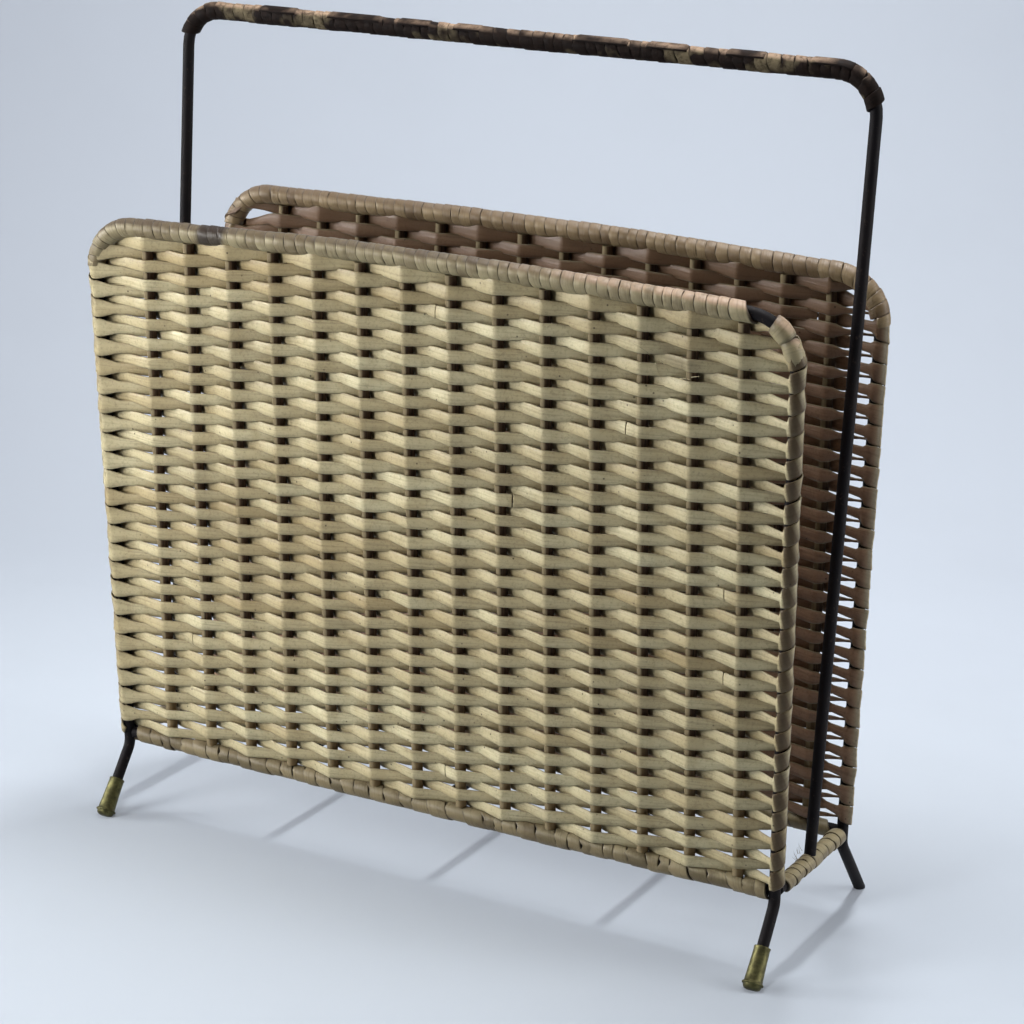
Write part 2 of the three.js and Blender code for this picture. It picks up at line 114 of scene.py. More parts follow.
class BasketSteelSettings(bpy.types.PropertyGroup):
    """Sizes and paint of the bent rod frame."""

    rod: length_prop("Rod", 6, "Diameter of every steel rod")
    panel_height: length_prop("Panel height", 293.5, "From the bottom rails up to the top rails")
    corner_radius: length_prop("Corner radius", 25, "Bend of the top corners, at the rod's middle")
    top_crown: length_prop("Top crown", 0.8, "How far the top rails rise over their middle")
    crown_width: length_prop("Crown width", 100, "Length of the raised middle of the top rails")
    crown_radius: length_prop("Crown radius", 600, "Soft bend at both ends of the raised middle")
    leg_bend_radius: length_prop("Leg bend", 10, "Bend where a post becomes a leg")
    leg_bend_drop: length_prop("Leg bend drop", 7, "How far the leg's bend lies below the rail")
    foot_width: length_prop("Foot width", 393, "Distance between the feet along the basket")
    foot_depth: length_prop("Foot depth", 141, "Distance between the feet across the basket")
    handle_height: length_prop("Handle height", 439.5, "Height of the handle's grip")
    handle_width: length_prop("Handle width", 389, "Length of the handle's top")
    handle_shift: length_prop("Handle shift", 10.5, "How far the handle leans to the right")
    handle_radius: length_prop("Handle bend", 20, "Bend of the handle's corners")
    paint: colour_prop("Paint", "110E10", "Black stoving enamel")
    bare: colour_prop("Bare steel", "2E2622", "Browned steel where the enamel has chipped")


class BasketWeaveSettings(bpy.types.PropertyGroup):
    """Counts, sizes and colours of the woven panels."""

    rows: IntProperty(name="Rows", default=53, description="Rows of weaver in a panel")
    stakes: IntProperty(name="Stakes", default=14, description="Upright stakes in a panel")
    stake: length_prop("Stake", 6, "Diameter of a stake")
    thickness: length_prop("Cane thickness", 1.3, "Thickness of the flat weaver")
    crest_height: length_prop("Crest height", 7, "Height of the weaver in front of a stake")
    inner_height: length_prop("Inner height", 8.3, "Height of the weaver behind a stake")
    crossing_height: length_prop("Crossing height", 6, "Height of the weaver between two stakes")
    left_turn: length_prop("Left turn", 10.3, "Height of the weaver round a left post")
    right_turn: length_prop("Right turn", 9.9, "Height of the weaver round a right post")
    straw: colour_prop("Straw", "CCC29C", "Peeled cane where it is clean")
    tan: colour_prop("Tan", "A8966E", "Cane where it has darkened")
    # This colour is laid both as real dirt and as painted shade in the hollows of the weave and under the top
    # rail
    dust_and_shade: colour_prop("Dust", "3E2C16", "Old dust and varnish in the hollows")
    inside: colour_prop("Inside", "886B54", "Browned cane on the inside of the basket")
    stake_colour: colour_prop("Stake colour", "54402D", "Brown stained stakes")


class BasketLappingSettings(bpy.types.PropertyGroup):
    """Sizes and colours of the cane that laps rails and handle."""

    top_diameter: length_prop("Top lapping", 10.2, "Outside of the lapping on the top rails")
    rail_diameter: length_prop("Rail lapping", 9, "Outside of the lapping on bottom and end rails")
    grip_diameter: length_prop("Grip lapping", 9.2, "Outside of the lapping on the handle")
    top_strip: length_prop("Top strip", 5.9, "Width of the cane strip on the top rails")
    rail_strip: length_prop("Rail strip", 8.2, "Width of the cane strip on bottom and end rails")
    grip_strip: length_prop("Grip strip", 6.2, "Width of the cane strip on the handle")
    brown: colour_prop("Brown cane", "160F0C", "Varnished cane of the grip")
    worn: colour_prop("Worn cane", "736851", "Cane of the grip where the varnish has worn off")
    pale: colour_prop("Pale cane", "AC927C", "Upper side of the lapping, worn pale")


class BasketStageSettings(bpy.types.PropertyGroup):
    """Camera, lights and floor."""

    azimuth: angle_prop("Azimuth", 28.67, "Camera's turn round the basket")
    elevation: angle_prop("Elevation", 17.01, "Camera's height angle")
    roll: angle_prop("Roll", 1.57, "Camera's roll")
    distance: length_prop("Distance", 1385.48, "From the camera to the point it looks at")
    lens: FloatProperty(name="Lens", default=93.915, description="Focal length in millimetres")
    floor: colour_prop("Floor", "A9B1BA", "Pale floor sheet")


def settings():
    """The four groups of settings on the scene."""
    scene = bpy.context.scene
    return scene.basket_steel, scene.basket_weave, scene.basket_lapping, scene.basket_stage


# Lines that rods and strips follow


class Bend:
    """The arc that rounds a corner."""

    def __init__(self, before, corner, after, radius):
        back = (before - corner).normalized()
        ahead = (after - corner).normalized()
        half = back.angle(ahead) / 2
        self.radius = radius
        self.angle = math.pi - 2 * half
        self.length = radius * self.angle
        self.start = corner + back * (radius / math.tan(half))
        self.end = corner + ahead * (radius / math.tan(half))
        self.centre = corner + (back + ahead).normalized() * (radius / math.sin(half))
        self.axis = ahead.cross(back).normalized()
        self.along = -back

    def at(self, distance):
        """Point and direction at a distance along the arc."""
        turn = Quaternion(self.axis, distance / self.radius)
        return self.centre + turn @ (self.start - self.centre), turn @ self.along


class Straight:
    """A straight stretch between two points."""

    def __init__(self, start, end):
        self.start = start
        self.along = (end - start).normalized()
        self.length = (end - start).length

    def at(self, distance):
        """Point and direction at a distance along the line."""
        return self.start + self.along * distance, self.along


def bends(corners, radii):
    """The bends that round the inner corners of a line."""
    return list(map(Bend, corners, corners[1:], corners[2:], radii))


class Route:
    """A flat bent line, read by the distance from its start. Side is square to its plane."""

    def __init__(self, corners, radii, side):
        self.side = side
        self.stretches = []
        place = corners[0]
        for bend in bends(corners, radii):
            self.stretches += [Straight(place, bend.start), bend]
            place = bend.end
        self.stretches.append(Straight(place, corners[-1]))
        self.length = sum(stretch.length for stretch in self.stretches)

    def at(self, distance):
        """Point and direction at a distance along the whole line."""
        for stretch in self.stretches[:-1]:
            if distance < stretch.length:
                return stretch.at(distance)
            distance -= stretch.length
        return self.stretches[-1].at(distance)

    def beside(self, distance, reach, angle):
        """A point that lies beside the line, at an angle round it."""
        point, along = self.at(min(max(distance, 0), self.length))
        up = along.cross(self.side)
        return point + self.side * (reach * math.cos(angle)) + up * (reach * math.sin(angle))


class Panel:
    """One woven side with its own plane: x across, w up the slope, n out of the basket."""

    def __init__(self, name, side, top_width, top_shift, lean, drops):
        steel = settings()[0]
        self.name = name
        self.side = side
        self.slope = math.hypot(steel.panel_height, lean)
        self.up = Vector((0, side * lean, steel.panel_height)).normalized()
        self.out = Vector((0, side * steel.panel_height, -lean)).normalized()
        self.base = FLOOR_MIDDLE + Vector((0, side * BOTTOM_DEPTH / 2, RAIL_HEIGHT))
        self.top_width = top_width
        self.top_shift = top_shift
        self.corner_radius = steel.corner_radius
        # Line of the top rail, as places across and up: a corner, both ends of the raised middle, a corner
        left, right = (self.slope - drop for drop in drops)
        crown = [hand * steel.crown_width / 2 - BOTTOM_SHIFT for hand in (-1, 1)]
        self.top_line = [(self.post_x(-1, left), left)]
        self.top_line += [(x, self.slope + steel.top_crown) for x in crown]
        self.top_line.append((self.post_x(1, right), right))
        self.top_corners = [self.at(x, w, 0) for x, w in self.top_line]
        self.arcs = {}
        for hand, line in ((-1, self.top_corners), (1, self.top_corners[::-1])):
            self.arcs[hand] = Bend(leg_bend(self, hand), line[0], line[1], self.corner_radius)

    def at(self, x, w, n):
        """Place of a point given across, up the slope and out."""
        return self.base + Vector((x, 0, 0)) + self.up * w + self.out * n

    def post_x(self, hand, w):
        """Where a post's line is at height w. Hand is -1 for left and 1 for right."""
        low = hand * BOTTOM_WIDTH / 2
        high = self.top_shift - BOTTOM_SHIFT + hand * self.top_width / 2
        return low + (high - low) * w / self.slope

    def top_w(self, x):
        """Height of the top rail's line over a place across."""
        corner, crown = self.top_line[:2] if x < 0 else self.top_line[:1:-1]
        share = min(1, max(0, (x - crown[0]) / (corner[0] - crown[0])))
        return crown[1] + (corner[1] - crown[1]) * share

    def post(self, hand, w):
        """Where a post's rod is at height w, and its lean once it bends into the corner."""
        centre = self.arcs[hand].centre - self.base
        rise = w - centre.dot(self.up)
        if rise <= 0:
            return self.post_x(hand, w), 0.0
        lean = math.asin(min(1, rise / self.corner_radius))
        return centre.x + hand * self.corner_radius * math.cos(lean), lean

    def warp_x(self, index, w):
        """Where a stake is at height w. The left post is warp -1, the right post follows the last stake."""
        stakes = settings()[1].stakes
        if index < 0:
            return self.post(-1, w)[0]
        if index >= stakes:
            return self.post(1, w)[0]
        left, right = (
            self.post_x(hand, w) - hand * (gap + more * w / self.slope) * MM
            for hand, (gap, more) in EDGE_GAPS.items()
        )
        return left + (right - left) * index / (stakes - 1)

    def stake_ends(self, index):
        """Heights between which the node of a stake stands."""
        return [(corner.z - self.base.z) / self.up.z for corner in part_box(f"{self.name}_stake_{index + 1}")]


def panels():
    """Front and back panel. They lean out, and their top rails sink at the corners, by unlike amounts."""
    front = Panel("front", -1, 400 * MM, -3.6 * MM, 16 * MM, (4.5 * MM, 2.4 * MM))
    back = Panel("back", 1, 386.5 * MM, 0.65 * MM, 9 * MM, (1.6 * MM, 3 * MM))
    return front, back


# Modelling helpers

# Sides of a steel rod and of a stake, steps in one bend of a rod, and stretches in one stake
ROD_SIDES = 20
STAKE_SIDES = 14
BEND_STEPS = 8
STAKE_JOINTS = 9


def select_only(*pieces):
    """Selects pieces, so that an operator acts on them alone, and makes the first one active."""
    bpy.ops.object.select_all(action="DESELECT")
    for piece in pieces:
        piece.select_set(True)
    if pieces:
        bpy.context.view_layer.objects.active = pieces[0]


def finish_piece(piece, name, material, replaced=()):
    """Names a piece, gives it its material and tells the frame what it stands for."""
    piece.name = name
    piece.data.name = name
    piece.data.materials.clear()
    piece.data.materials.append(material)
    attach(piece, "root")
    if replaced:
        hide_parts(*replaced)


def apply_place(piece):
    """Moves a piece's place into its mesh, so that its object sits unturned at the origin."""
    select_only(piece)
    bpy.ops.object.transform_apply(location=True, rotation=True, scale=True)


def smooth(piece, degrees=40):
    """Shades a piece smooth except along its sharp edges."""
    select_only(piece)
    bpy.ops.object.shade_smooth_by_angle(angle=math.radians(degrees))


def round_face(sides, radius, place=(0, 0, 0), way=None):
    """Starts a piece from a round face that looks one way, and leaves it in edit mode."""
    select_only()
    turn = way.to_track_quat("Z", "Y").to_euler() if way else (0, 0, 0)
    bpy.ops.mesh.primitive_circle_add(
        vertices=sides, radius=radius, fill_type="NGON", location=place, rotation=turn
    )
    bpy.ops.object.mode_set(mode="EDIT")
    return bpy.context.object


def extrude(step):
    """Pulls the selected face out by a step."""
    bpy.ops.mesh.extrude_region_move(TRANSFORM_OT_translate={"value": step})


def close_edit():
    """Ends the edit with every face turned outward."""
    bpy.ops.mesh.select_all(action="SELECT")
    bpy.ops.mesh.remove_doubles(threshold=1e-6)
    bpy.ops.mesh.normals_make_consistent(inside=False)
    bpy.ops.object.mode_set(mode="OBJECT")


def cut_level(piece, height):
    """Cuts a piece level and takes away what lies lower."""
    select_only(piece)
    bpy.ops.object.mode_set(mode="EDIT")
    bpy.ops.mesh.select_all(action="SELECT")
    bpy.ops.mesh.bisect(plane_co=(0, 0, height), plane_no=(0, 0, 1), use_fill=True, clear_inner=True)
    bpy.ops.object.mode_set(mode="OBJECT")


def pull_rod(corners, radii):
    """Pulls a round face along a bent line: an extrude for each straight, a spin for each bend."""
    radius = settings()[0].rod / 2
    piece = round_face(ROD_SIDES, radius, corners[0], (corners[1] - corners[0]).normalized())
    place = corners[0]
    for bend in bends(corners, radii):
        extrude(bend.start - place)
        bpy.ops.mesh.spin(steps=BEND_STEPS, angle=-bend.angle, center=bend.centre, axis=bend.axis)
        place = bend.end
    extrude(corners[-1] - place)
    close_edit()
    apply_place(piece)
    smooth(piece)
    return piece


def mesh_from_rings(name, rings, uvs, hollows, shades):
    """A closed strip through rings of points. Ops can't lay a strip along thousands of woven places.

    Each ring has its own distance along the strip (uvs) and its own shade of cane. Each point has its depth
    in the work (hollows), by which the material paints shade, and the front's scar.
    """
    sides = len(rings[0])
    across = [0.0]
    for k in range(sides):
        across.append(across[-1] + (rings[0][(k + 1) % sides] - rings[0][k]).length)
    faces, coords = [], []
    for i in range(len(rings) - 1):
        for k in range(sides):
            a = i * sides + k
            b = i * sides + (k + 1) % sides
            faces.append((a, b, b + sides, a + sides))
            coords += [uvs[i], across[k], uvs[i], across[k + 1]]
            coords += [uvs[i + 1], across[k + 1], uvs[i + 1], across[k]]
    last = (len(rings) - 1) * sides
    faces += [tuple(range(sides - 1, -1, -1)), tuple(range(last, last + sides))]
    coords += [uvs[0], 0.0] * sides + [uvs[-1], 0.0] * sides
    mesh = bpy.data.meshes.new(name)
    mesh.from_pydata([point for ring in rings for point in ring], [], faces)
    mesh.uv_layers.new(name="Strip").data.foreach_set("uv", coords)
    tints = [shade for shade in shades for _ in range(sides)]
    for attribute, values in (("hollow", hollows), ("shade", tints)):
        mesh.attributes.new(attribute, "FLOAT", "POINT").data.foreach_set("value", values)
    mesh.polygons.foreach_set("use_smooth", [True] * len(faces))
    mesh.validate()
    piece = bpy.data.objects.new(name, mesh)
    bpy.context.scene.collection.objects.link(piece)
    return piece


def joined(pieces):
    """Joins small pieces of one kind into the first."""
    select_only(*pieces)
    bpy.ops.object.join()
    return pieces[0]


# Materials


def rgba(colour):
    """A colour, given as sRGB hex or as its linear values, with its alpha."""
    return (*(linear(colour) if isinstance(colour, str) else colour), 1.0)


class Look:
    """A material or world while its nodes are drawn."""

    def __init__(self, owner):
        owner.use_nodes = True
        self.tree = owner.node_tree
        self.tree.nodes.clear()

    def add(self, kind, inputs=None, **values):
        """Adds a node with its settings, hands back its outputs. An input is a value or a socket to link."""
        node = self.tree.nodes.new(f"ShaderNode{kind}")
        for key, value in values.items():
            setattr(node, key, value)
        for key, value in (inputs or {}).items():
            if isinstance(value, bpy.types.NodeSocket):
                self.tree.links.new(value, node.inputs[key])
            else:
                node.inputs[key].default_value = value
        return node.outputs

    def over(self, shade, colour, value, low=0.0, high=1.0, most=1.0):
        """Lays a colour over a shade: nothing of it where a value is low, and the most where it is high."""
        share = self.add("MapRange", {"Value": value, "From Min": low, "From Max": high, "To Max": most})
        return self.add("Mix", {"Factor": share["Result"], 6: shade, 7: colour}, data_type="RGBA")[2]

    def fibres(self, place, per_metre):
        """Long fibres of a strip: 0.3 mm wide in the real cane and drawn 0.8 mm wide, so that they show."""
        drawn = self.add("Mapping", {"Vector": place["UV"], "Scale": (per_metre, 1250, 1)})["Vector"]
        return self.add("TexNoise", {"Vector": drawn, "Scale": 1, "Detail": 2, "Roughness": 0.6})["Fac"]

    def background_rays(self):
        """1 for the rays that show the stage: the eye's own, and those by which metal and glass show it."""
        path = self.add("LightPath")
        seen = self.add("Math", {0: path["Is Camera Ray"], 1: path["Is Glossy Ray"]}, operation="ADD")[0]
        return self.add("Math", {0: seen, 1: path["Is Transmission Ray"]}, operation="ADD")[0]

    def shader(self, colour, roughness, bump_height, bump_depth, **values):
        """Principled surface with a bump."""
        bump = self.add("Bump", {"Height": bump_height, "Distance": bump_depth, "Strength": 1.0})
        inputs = {"Base Color": colour, "Roughness": roughness, "Normal": bump["Normal"], **values}
        return self.add("BsdfPrincipled", inputs)["BSDF"]

    def cane(self, colour, fibres, dull, low, high, specular=0.3):
        """Surface of split cane: its fibres stand 0.25 mm high, and it is matt where dull is high."""
        rough = self.add("MapRange", {"Value": dull, "From Min": low, "From Max": high})["Result"]
        return self.shader(colour, rough, fibres, 0.25 * MM, **{"Specular IOR Level": specular})


def material(name, draw, *values):
    """Makes a material once, from the shader that a function draws, and hands the same one out again."""
    made = bpy.data.materials.get(name)
    if not made:
        made = bpy.data.materials.new(name)
        look = Look(made)
        look.add("OutputMaterial", {"Surface": draw(look, *values)})
    return made


def draw_split_cane(look, outward):
    """Split cane, peeled and left matt: long fibres, each strand its own shade, painted shade in the hollows.
    """
    weave = settings()[1]
    clean, aged, dust_and_shade, inside = (rgba(c) for c in (weave.straw, weave.tan, weave.dust_and_shade, weave.inside))
    place = look.add("TexCoord")
    space = place["Object"]
    shade = look.over(clean, aged, look.add("Attribute", attribute_name="shade")["Fac"])
    # Each bulge of the weave has browned a little differently
    bulges = look.add("TexNoise", {"Vector": space, "Scale": 85, "Detail": 2, "Roughness": 0.6})["Fac"]
    shade = look.over(shade, aged, bulges, 0.42, 0.75, 0.5)
    # The side towards the magazines has browned. Near the top it is painted darker, as shade under the top
    # rail
    facing = look.add("SeparateXYZ", {"Vector": place["Normal"]})["Y"]
    turned = look.add("Math", {0: facing, 1: -outward}, operation="MULTIPLY")[0]
    height = look.add("SeparateXYZ", {"Vector": space})["Z"]
    inside = look.over(inside, dust_and_shade, height, 0.27, 0.33, 0.58)
    # Where it turns away round a post, hands have left it grey
    inside = look.over(inside, rgba("756B52"), turned, 0.9, 0.5)
    shade = look.over(shade, inside, turned, -0.1, 0.2)
    stains = look.add("TexNoise", {"Vector": space, "Scale": 14, "Detail": 3, "Roughness": 0.6})["Fac"]
    shade = look.over(shade, dust_and_shade, stains, 0.55, 0.8, 0.35)
    fibres = look.fibres(place, 30)
    shade = look.over(shade, dust_and_shade, fibres, 0.5, 0.75, 0.28)
    specks = look.add("TexNoise", {"Vector": space, "Scale": 650, "Detail": 4, "Roughness": 0.7})["Fac"]
    shade = look.over(shade, dust_and_shade, specks, 0.5, 0.8, 0.45)
    # Painted shade in the hollows of the weave, where the rows meet and where the cane lies behind a stake;
    # the front's scar is real
    shade = look.over(shade, dust_and_shade, look.add("Attribute", attribute_name="hollow")["Fac"])
    # Dark flecks where bark was left on
    flecks = look.add("TexVoronoi", {"Vector": space, "Scale": 120})["Distance"]
    shade = look.over(shade, rgba("2C2014"), flecks, 0.08, 0.03, 0.85)
    return look.cane(shade, fibres, fibres, -0.6, 1.6)


# Cane of the lappings: clean, aged, the upper side and its grimy end, where along x the grime ends and where
# it is full, and the place of an old stain
LAPPINGS = {
    "front": ("9C9170", "72654A", None, "4A3E33", 0.12, 0.03, -126 * MM),
    "back": ("8A7859", "66543C", "7C6C59", "5C4E40", 0.1, -0.09, None),
    "rail": ("887A5B", "61563D", "988D6E", "776A52", 0.2, -0.2, None),
}


def draw_lapping(look, clean, aged, pale, grime, grime_end, grime_full, stain):
    """Cane lapping: pale and rubbed on its upper side, grimy towards one end, with painted shade in the
    seams.
    """
    weave, lapping = settings()[1:3]
    aged, dust_and_shade = rgba(aged), rgba(weave.dust_and_shade)
    place = look.add("TexCoord")
    space = place["Object"]
    along = look.add("SeparateXYZ", {"Vector": space})["X"]
    facing = look.add("SeparateXYZ", {"Vector": place["Normal"]})["Z"]
    fibres = look.fibres(place, 40)
    smears = look.add("TexNoise", {"Vector": space, "Scale": 60, "Detail": 4, "Roughness": 0.65})["Fac"]
    shade = look.over(rgba(clean), aged, look.add("Attribute", attribute_name="shade")["Fac"])
    upper = look.over(rgba(pale or lapping.pale), rgba(grime), along, grime_end, grime_full)
    upper = look.over(upper, aged, smears, 0.45, 0.65, 0.6)
    shade = look.over(shade, upper, facing, 0.3, 0.62, 0.85)
    shade = look.over(shade, dust_and_shade, smears, 0.52, 0.7, 0.45)
    shade = look.over(shade, dust_and_shade, fibres, 0.5, 0.75, 0.3)
    if stain:
        # An old stain, 16 mm long, has soaked into the lapping
        offset = look.add("Math", {0: along, 1: stain}, operation="SUBTRACT")[0]
        reach = look.add("Math", {0: offset}, operation="ABSOLUTE")[0]
        edge = look.add("Math", {0: smears, 1: 6 * MM, 2: reach}, operation="MULTIPLY_ADD")[0]
        shade = look.over(shade, rgba("2A211B"), edge, 13 * MM, 9.5 * MM, 0.9)
    # Painted shade in the seams between turns
    shade = look.over(shade, rgba("2C2016"), look.add("Attribute", attribute_name="hollow")["Fac"])
    return look.cane(shade, fibres, fibres, -0.4, 1.6)


def lapping_cane(kind):
    """Cane of the front's or the back's top rail, or of the rails low on the basket."""
    return material(f"{kind}_lapping_cane", draw_lapping, *LAPPINGS[kind])


def draw_varnished_cane(look):
    """Cane under dark varnish that hands have rubbed through: gold and tan patches on a brown ground."""
    lapping = settings()[2]
    brown, worn, pale = (rgba(c) for c in (lapping.brown, lapping.worn, lapping.pale))
    place = look.add("TexCoord")
    space = place["Object"]
    along = look.add("SeparateXYZ", {"Vector": space})["X"]
    facing = look.add("SeparateXYZ", {"Vector": place["Normal"]})["Z"]
    grazed = look.add("TexNoise", {"Vector": space, "Scale": 320, "Detail": 3, "Roughness": 0.7})["Fac"]
    # Bare patches are 1 to 3 cm long, and some turns are barer than others
    rubbed = look.add("TexNoise", {"Vector": space, "Scale": 34, "Detail": 3, "Roughness": 0.6})["Fac"]
    turn = look.add("Attribute", attribute_name="shade")["Fac"]
    bare = look.add("Math", {0: turn, 1: 0.2, 2: rubbed}, operation="MULTIPLY_ADD")[0]
    # The left hand's side has kept more of its varnish, and the last turn on the right all of it
    for low, high, start, end in ((-0.06, 0.1, -0.07, 0.0), (0.199, 0.205, 0.0, -0.3)):
        inputs = {"Value": along, "From Min": low, "From Max": high, "To Min": start, "To Max": end}
        bare = look.add("Math", {0: bare, 1: look.add("MapRange", inputs)["Result"]}, operation="ADD")[0]
    shade = look.over(brown, rgba("2E211A"), grazed, 0.45, 0.8)
    shade = look.over(shade, worn, bare, 0.63, 0.72, 0.85)
    upper = look.over(shade, pale, facing, 0.45, 0.8, 0.65)
    shade = look.over(shade, upper, bare, 0.45, 0.65)
    shade = look.over(shade, brown, grazed, 0.46, 0.66, 0.65)
    # Painted shade in the seams between turns and along the overlay strips
    shade = look.over(shade, rgba("150F0D"), look.add("Attribute", attribute_name="hollow")["Fac"])
    return look.cane(shade, look.fibres(place, 60), grazed, -1.0, 1.2, 0.08)


def draw_enamel(look):
    """Black stoving enamel on mild steel: a dull gloss, with brown chips and rubbed spots."""
    steel = settings()[0]
    bare = rgba(steel.bare)
    space = look.add("TexCoord")["Object"]
    runs = look.add("TexNoise", {"Vector": space, "Scale": 160, "Detail": 2, "Roughness": 0.6})["Fac"]
    chips = look.add("TexNoise", {"Vector": space, "Scale": 420, "Detail": 4, "Roughness": 0.7})["Fac"]
    dulled = look.add("TexNoise", {"Vector": space, "Scale": 30, "Detail": 3, "Roughness": 0.6})["Fac"]
    colour = look.over(rgba(steel.paint), bare, chips, 0.62, 0.66)
    colour = look.over(colour, bare, dulled, 0.45, 0.75, 0.35)
    rough = look.add("MapRange", {"Value": dulled, "To Min": 0.5, "To Max": 0.75})["Result"]
    return look.shader(colour, rough, runs, 0.12 * MM, **{"Specular IOR Level": 0.12})


def draw_tarnished_brass(look):
    """Pressed brass, tarnished olive in patches, with dark spots."""
    space = look.add("TexCoord")["Object"]
    tarnish = look.add("TexNoise", {"Vector": space, "Scale": 260, "Detail": 4, "Roughness": 0.6})["Fac"]
    spots = look.add("TexNoise", {"Vector": space, "Scale": 900, "Detail": 2, "Roughness": 0.6})["Fac"]
    colour = look.over(rgba("67633F"), rgba("3C3923"), tarnish, 0.35, 0.7)
    colour = look.over(colour, rgba("2E2A18"), spots, 0.6, 0.7, 0.6)
    rough = look.add("MapRange", {"Value": tarnish, "To Min": 0.36, "To Max": 0.6})["Result"]
    return look.shader(colour, rough, spots, 0.05 * MM, Metallic=0.85)


def draw_stained_stake(look):
    """Round cane stained brown: dull, with a painted highlight on the side that faces the left lamps."""
    place = look.add("TexCoord")
    drawn = look.add("Mapping", {"Vector": place["Object"], "Scale": (900, 900, 20)})["Vector"]
    grain = look.add("TexNoise", {"Vector": drawn, "Scale": 1, "Detail": 2, "Roughness": 0.6})["Fac"]
    shade = look.over(rgba(settings()[1].stake_colour), rgba("2A1D13"), grain, 0.35, 0.7)
    # Low down the stakes are drawn lighter, towards tan
    height = look.add("SeparateXYZ", {"Vector": place["Object"]})["Z"]
    shade = look.over(shade, rgba("8A7450"), height, 0.12, 0.06, 0.7)
    # Painted highlight: the side that faces the left lamps is drawn pale
    facing = look.add("SeparateXYZ", {"Vector": place["Normal"]})["X"]
    shade = look.over(shade, rgba("7F7257"), facing, 0.35, 0.1, 0.8)
    return look.shader(shade, 0.8, grain, 0.1 * MM, **{"Specular IOR Level": 0.2})


def draw_paper_sheet(look):
    """Matt paper sheet of the stage, with faint scuffs. From behind, the basket shows through it."""
    floor = settings()[3].floor
    space = look.add("TexCoord")["Object"]
    scuffs = look.add("TexNoise", {"Vector": space, "Scale": 9, "Detail": 3, "Roughness": 0.6})["Fac"]
    shade = look.over(rgba(floor), rgba([c * 0.8 for c in floor]), scuffs, 0.5, 0.8, 0.15)
    # The eye and the steel see the sheet a little brighter than the lamps alone make it, less so on the
    # right. Far from the lamps, where only views from other sides reach, it takes more to keep it pale
    where = look.add("SeparateXYZ", {"Vector": space})
    away = look.add("VectorMath", {0: space}, operation="LENGTH")["Value"]
    glow = 0.13
    for value, low, high, end in ((where["Y"], 0.0, 0.5, 0.12), (where["X"], 0.1, 0.7, -0.09),
                                  (away, 1.25, 2.0, 0.4), (where["Y"], -0.35, -1.2, 0.22)):
        inputs = {"Value": value, "From Min": low, "From Max": high, "To Max": end}
        glow = look.add("Math", {0: glow, 1: look.add("MapRange", inputs)["Result"]}, operation="ADD")[0]
    light = look.add("Math", {0: look.background_rays(), 1: glow}, operation="MULTIPLY")[0]
    values = {"Emission Color": rgba("EAEFFF"), "Emission Strength": light, "Specular IOR Level": 0.2}
    paper = look.shader(shade, 0.8, scuffs, 0.0, **values)
    reverse = look.add("NewGeometry")["Backfacing"]
    clear = look.add("BsdfTransparent")["BSDF"]
    return look.add("MixShader", {0: reverse, 1: paper, 2: clear})["Shader"]


# Steel


def foot(panel, hand):
    """Where a leg meets the floor."""
    steel = settings()[0]
    return Vector((
        FEET_MIDDLE_X + hand * steel.foot_width / 2, FLOOR_MIDDLE.y + panel.side * steel.foot_depth / 2, 0
    ))


def leg_bend(panel, hand):
    """Where the line of a post meets the line of its leg."""
    return panel.at(panel.post_x(hand, 0), -settings()[0].leg_bend_drop, 0)


def frame_rod_corners(panel):
    """Corners of the rod that makes a panel's legs, posts and top rail."""
    feet = []
    for hand in (-1, 1):
        start = foot(panel, hand)
        stop = CAPPED_STOP if (panel.name, hand) in CAPPED_FEET else 0
        feet.append(start + (leg_bend(panel, hand) - start).normalized() * stop)
    return [feet[0], leg_bend(panel, -1), *panel.top_corners, leg_bend(panel, 1), feet[1]]


def handle_corners():
    """Corners of the handle's rod, from its left foot to its right foot."""
    steel = settings()[0]
    foot_height = RAIL_HEIGHT + steel.rod / 2 + SEAT_GAP
    top_x = FEET_MIDDLE_X + steel.handle_shift
    top = [(top_x + hand * steel.handle_width / 2, steel.handle_height) for hand in (-1, 1)]
    line = [(LEFT_RAIL.x, foot_height), *top, (RIGHT_RAIL.x, foot_height)]
    return [Vector((x, FLOOR_MIDDLE.y, z)) for x, z in line]


def finish_rod(rod, name, node):
    """Paints a rod and names the node that it stands for."""
    finish_piece(rod, name, material("black_stoving_enamel", draw_enamel), [node])


class BASKET_OT_frame_rods(bpy.types.Operator):
    """Add the two bent rods that make legs, posts and top rails"""

    bl_idname = "basket.frame_rods"
    bl_label = "Frame rods"

    def execute(self, context):
        steel = settings()[0]
        half = [steel.leg_bend_radius, steel.corner_radius, steel.crown_radius]
        for panel in panels():
            rod = pull_rod(frame_rod_corners(panel), half + half[::-1])
            if (panel.name, 1) not in CAPPED_FEET:
                cut_level(rod, WORN_FOOT)
            finish_rod(rod, f"{panel.name}_rod", f"{panel.name}_frame_rod")
        return {"FINISHED"}


class BASKET_OT_rails(bpy.types.Operator):
    """Add the straight rods: bottom rails, end rails and the cross rods of the floor"""

    bl_idname = "basket.rails"
    bl_label = "Rails and cross rods"

    def execute(self, context):
        names = ["front_bottom_rail", "back_bottom_rail", "left_end_rail", "right_end_rail"]
        names += sorted(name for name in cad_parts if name.startswith("cross_rod"))
        for name in names:
            low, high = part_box(name)
            centre = (low + high) / 2
            size = high - low
            half = Vector((size.x, 0, 0)) / 2 if size.x > size.y else Vector((0, size.y, 0)) / 2
            finish_rod(pull_rod([centre - half, centre + half], []), f"{name}_steel", name)
        return {"FINISHED"}


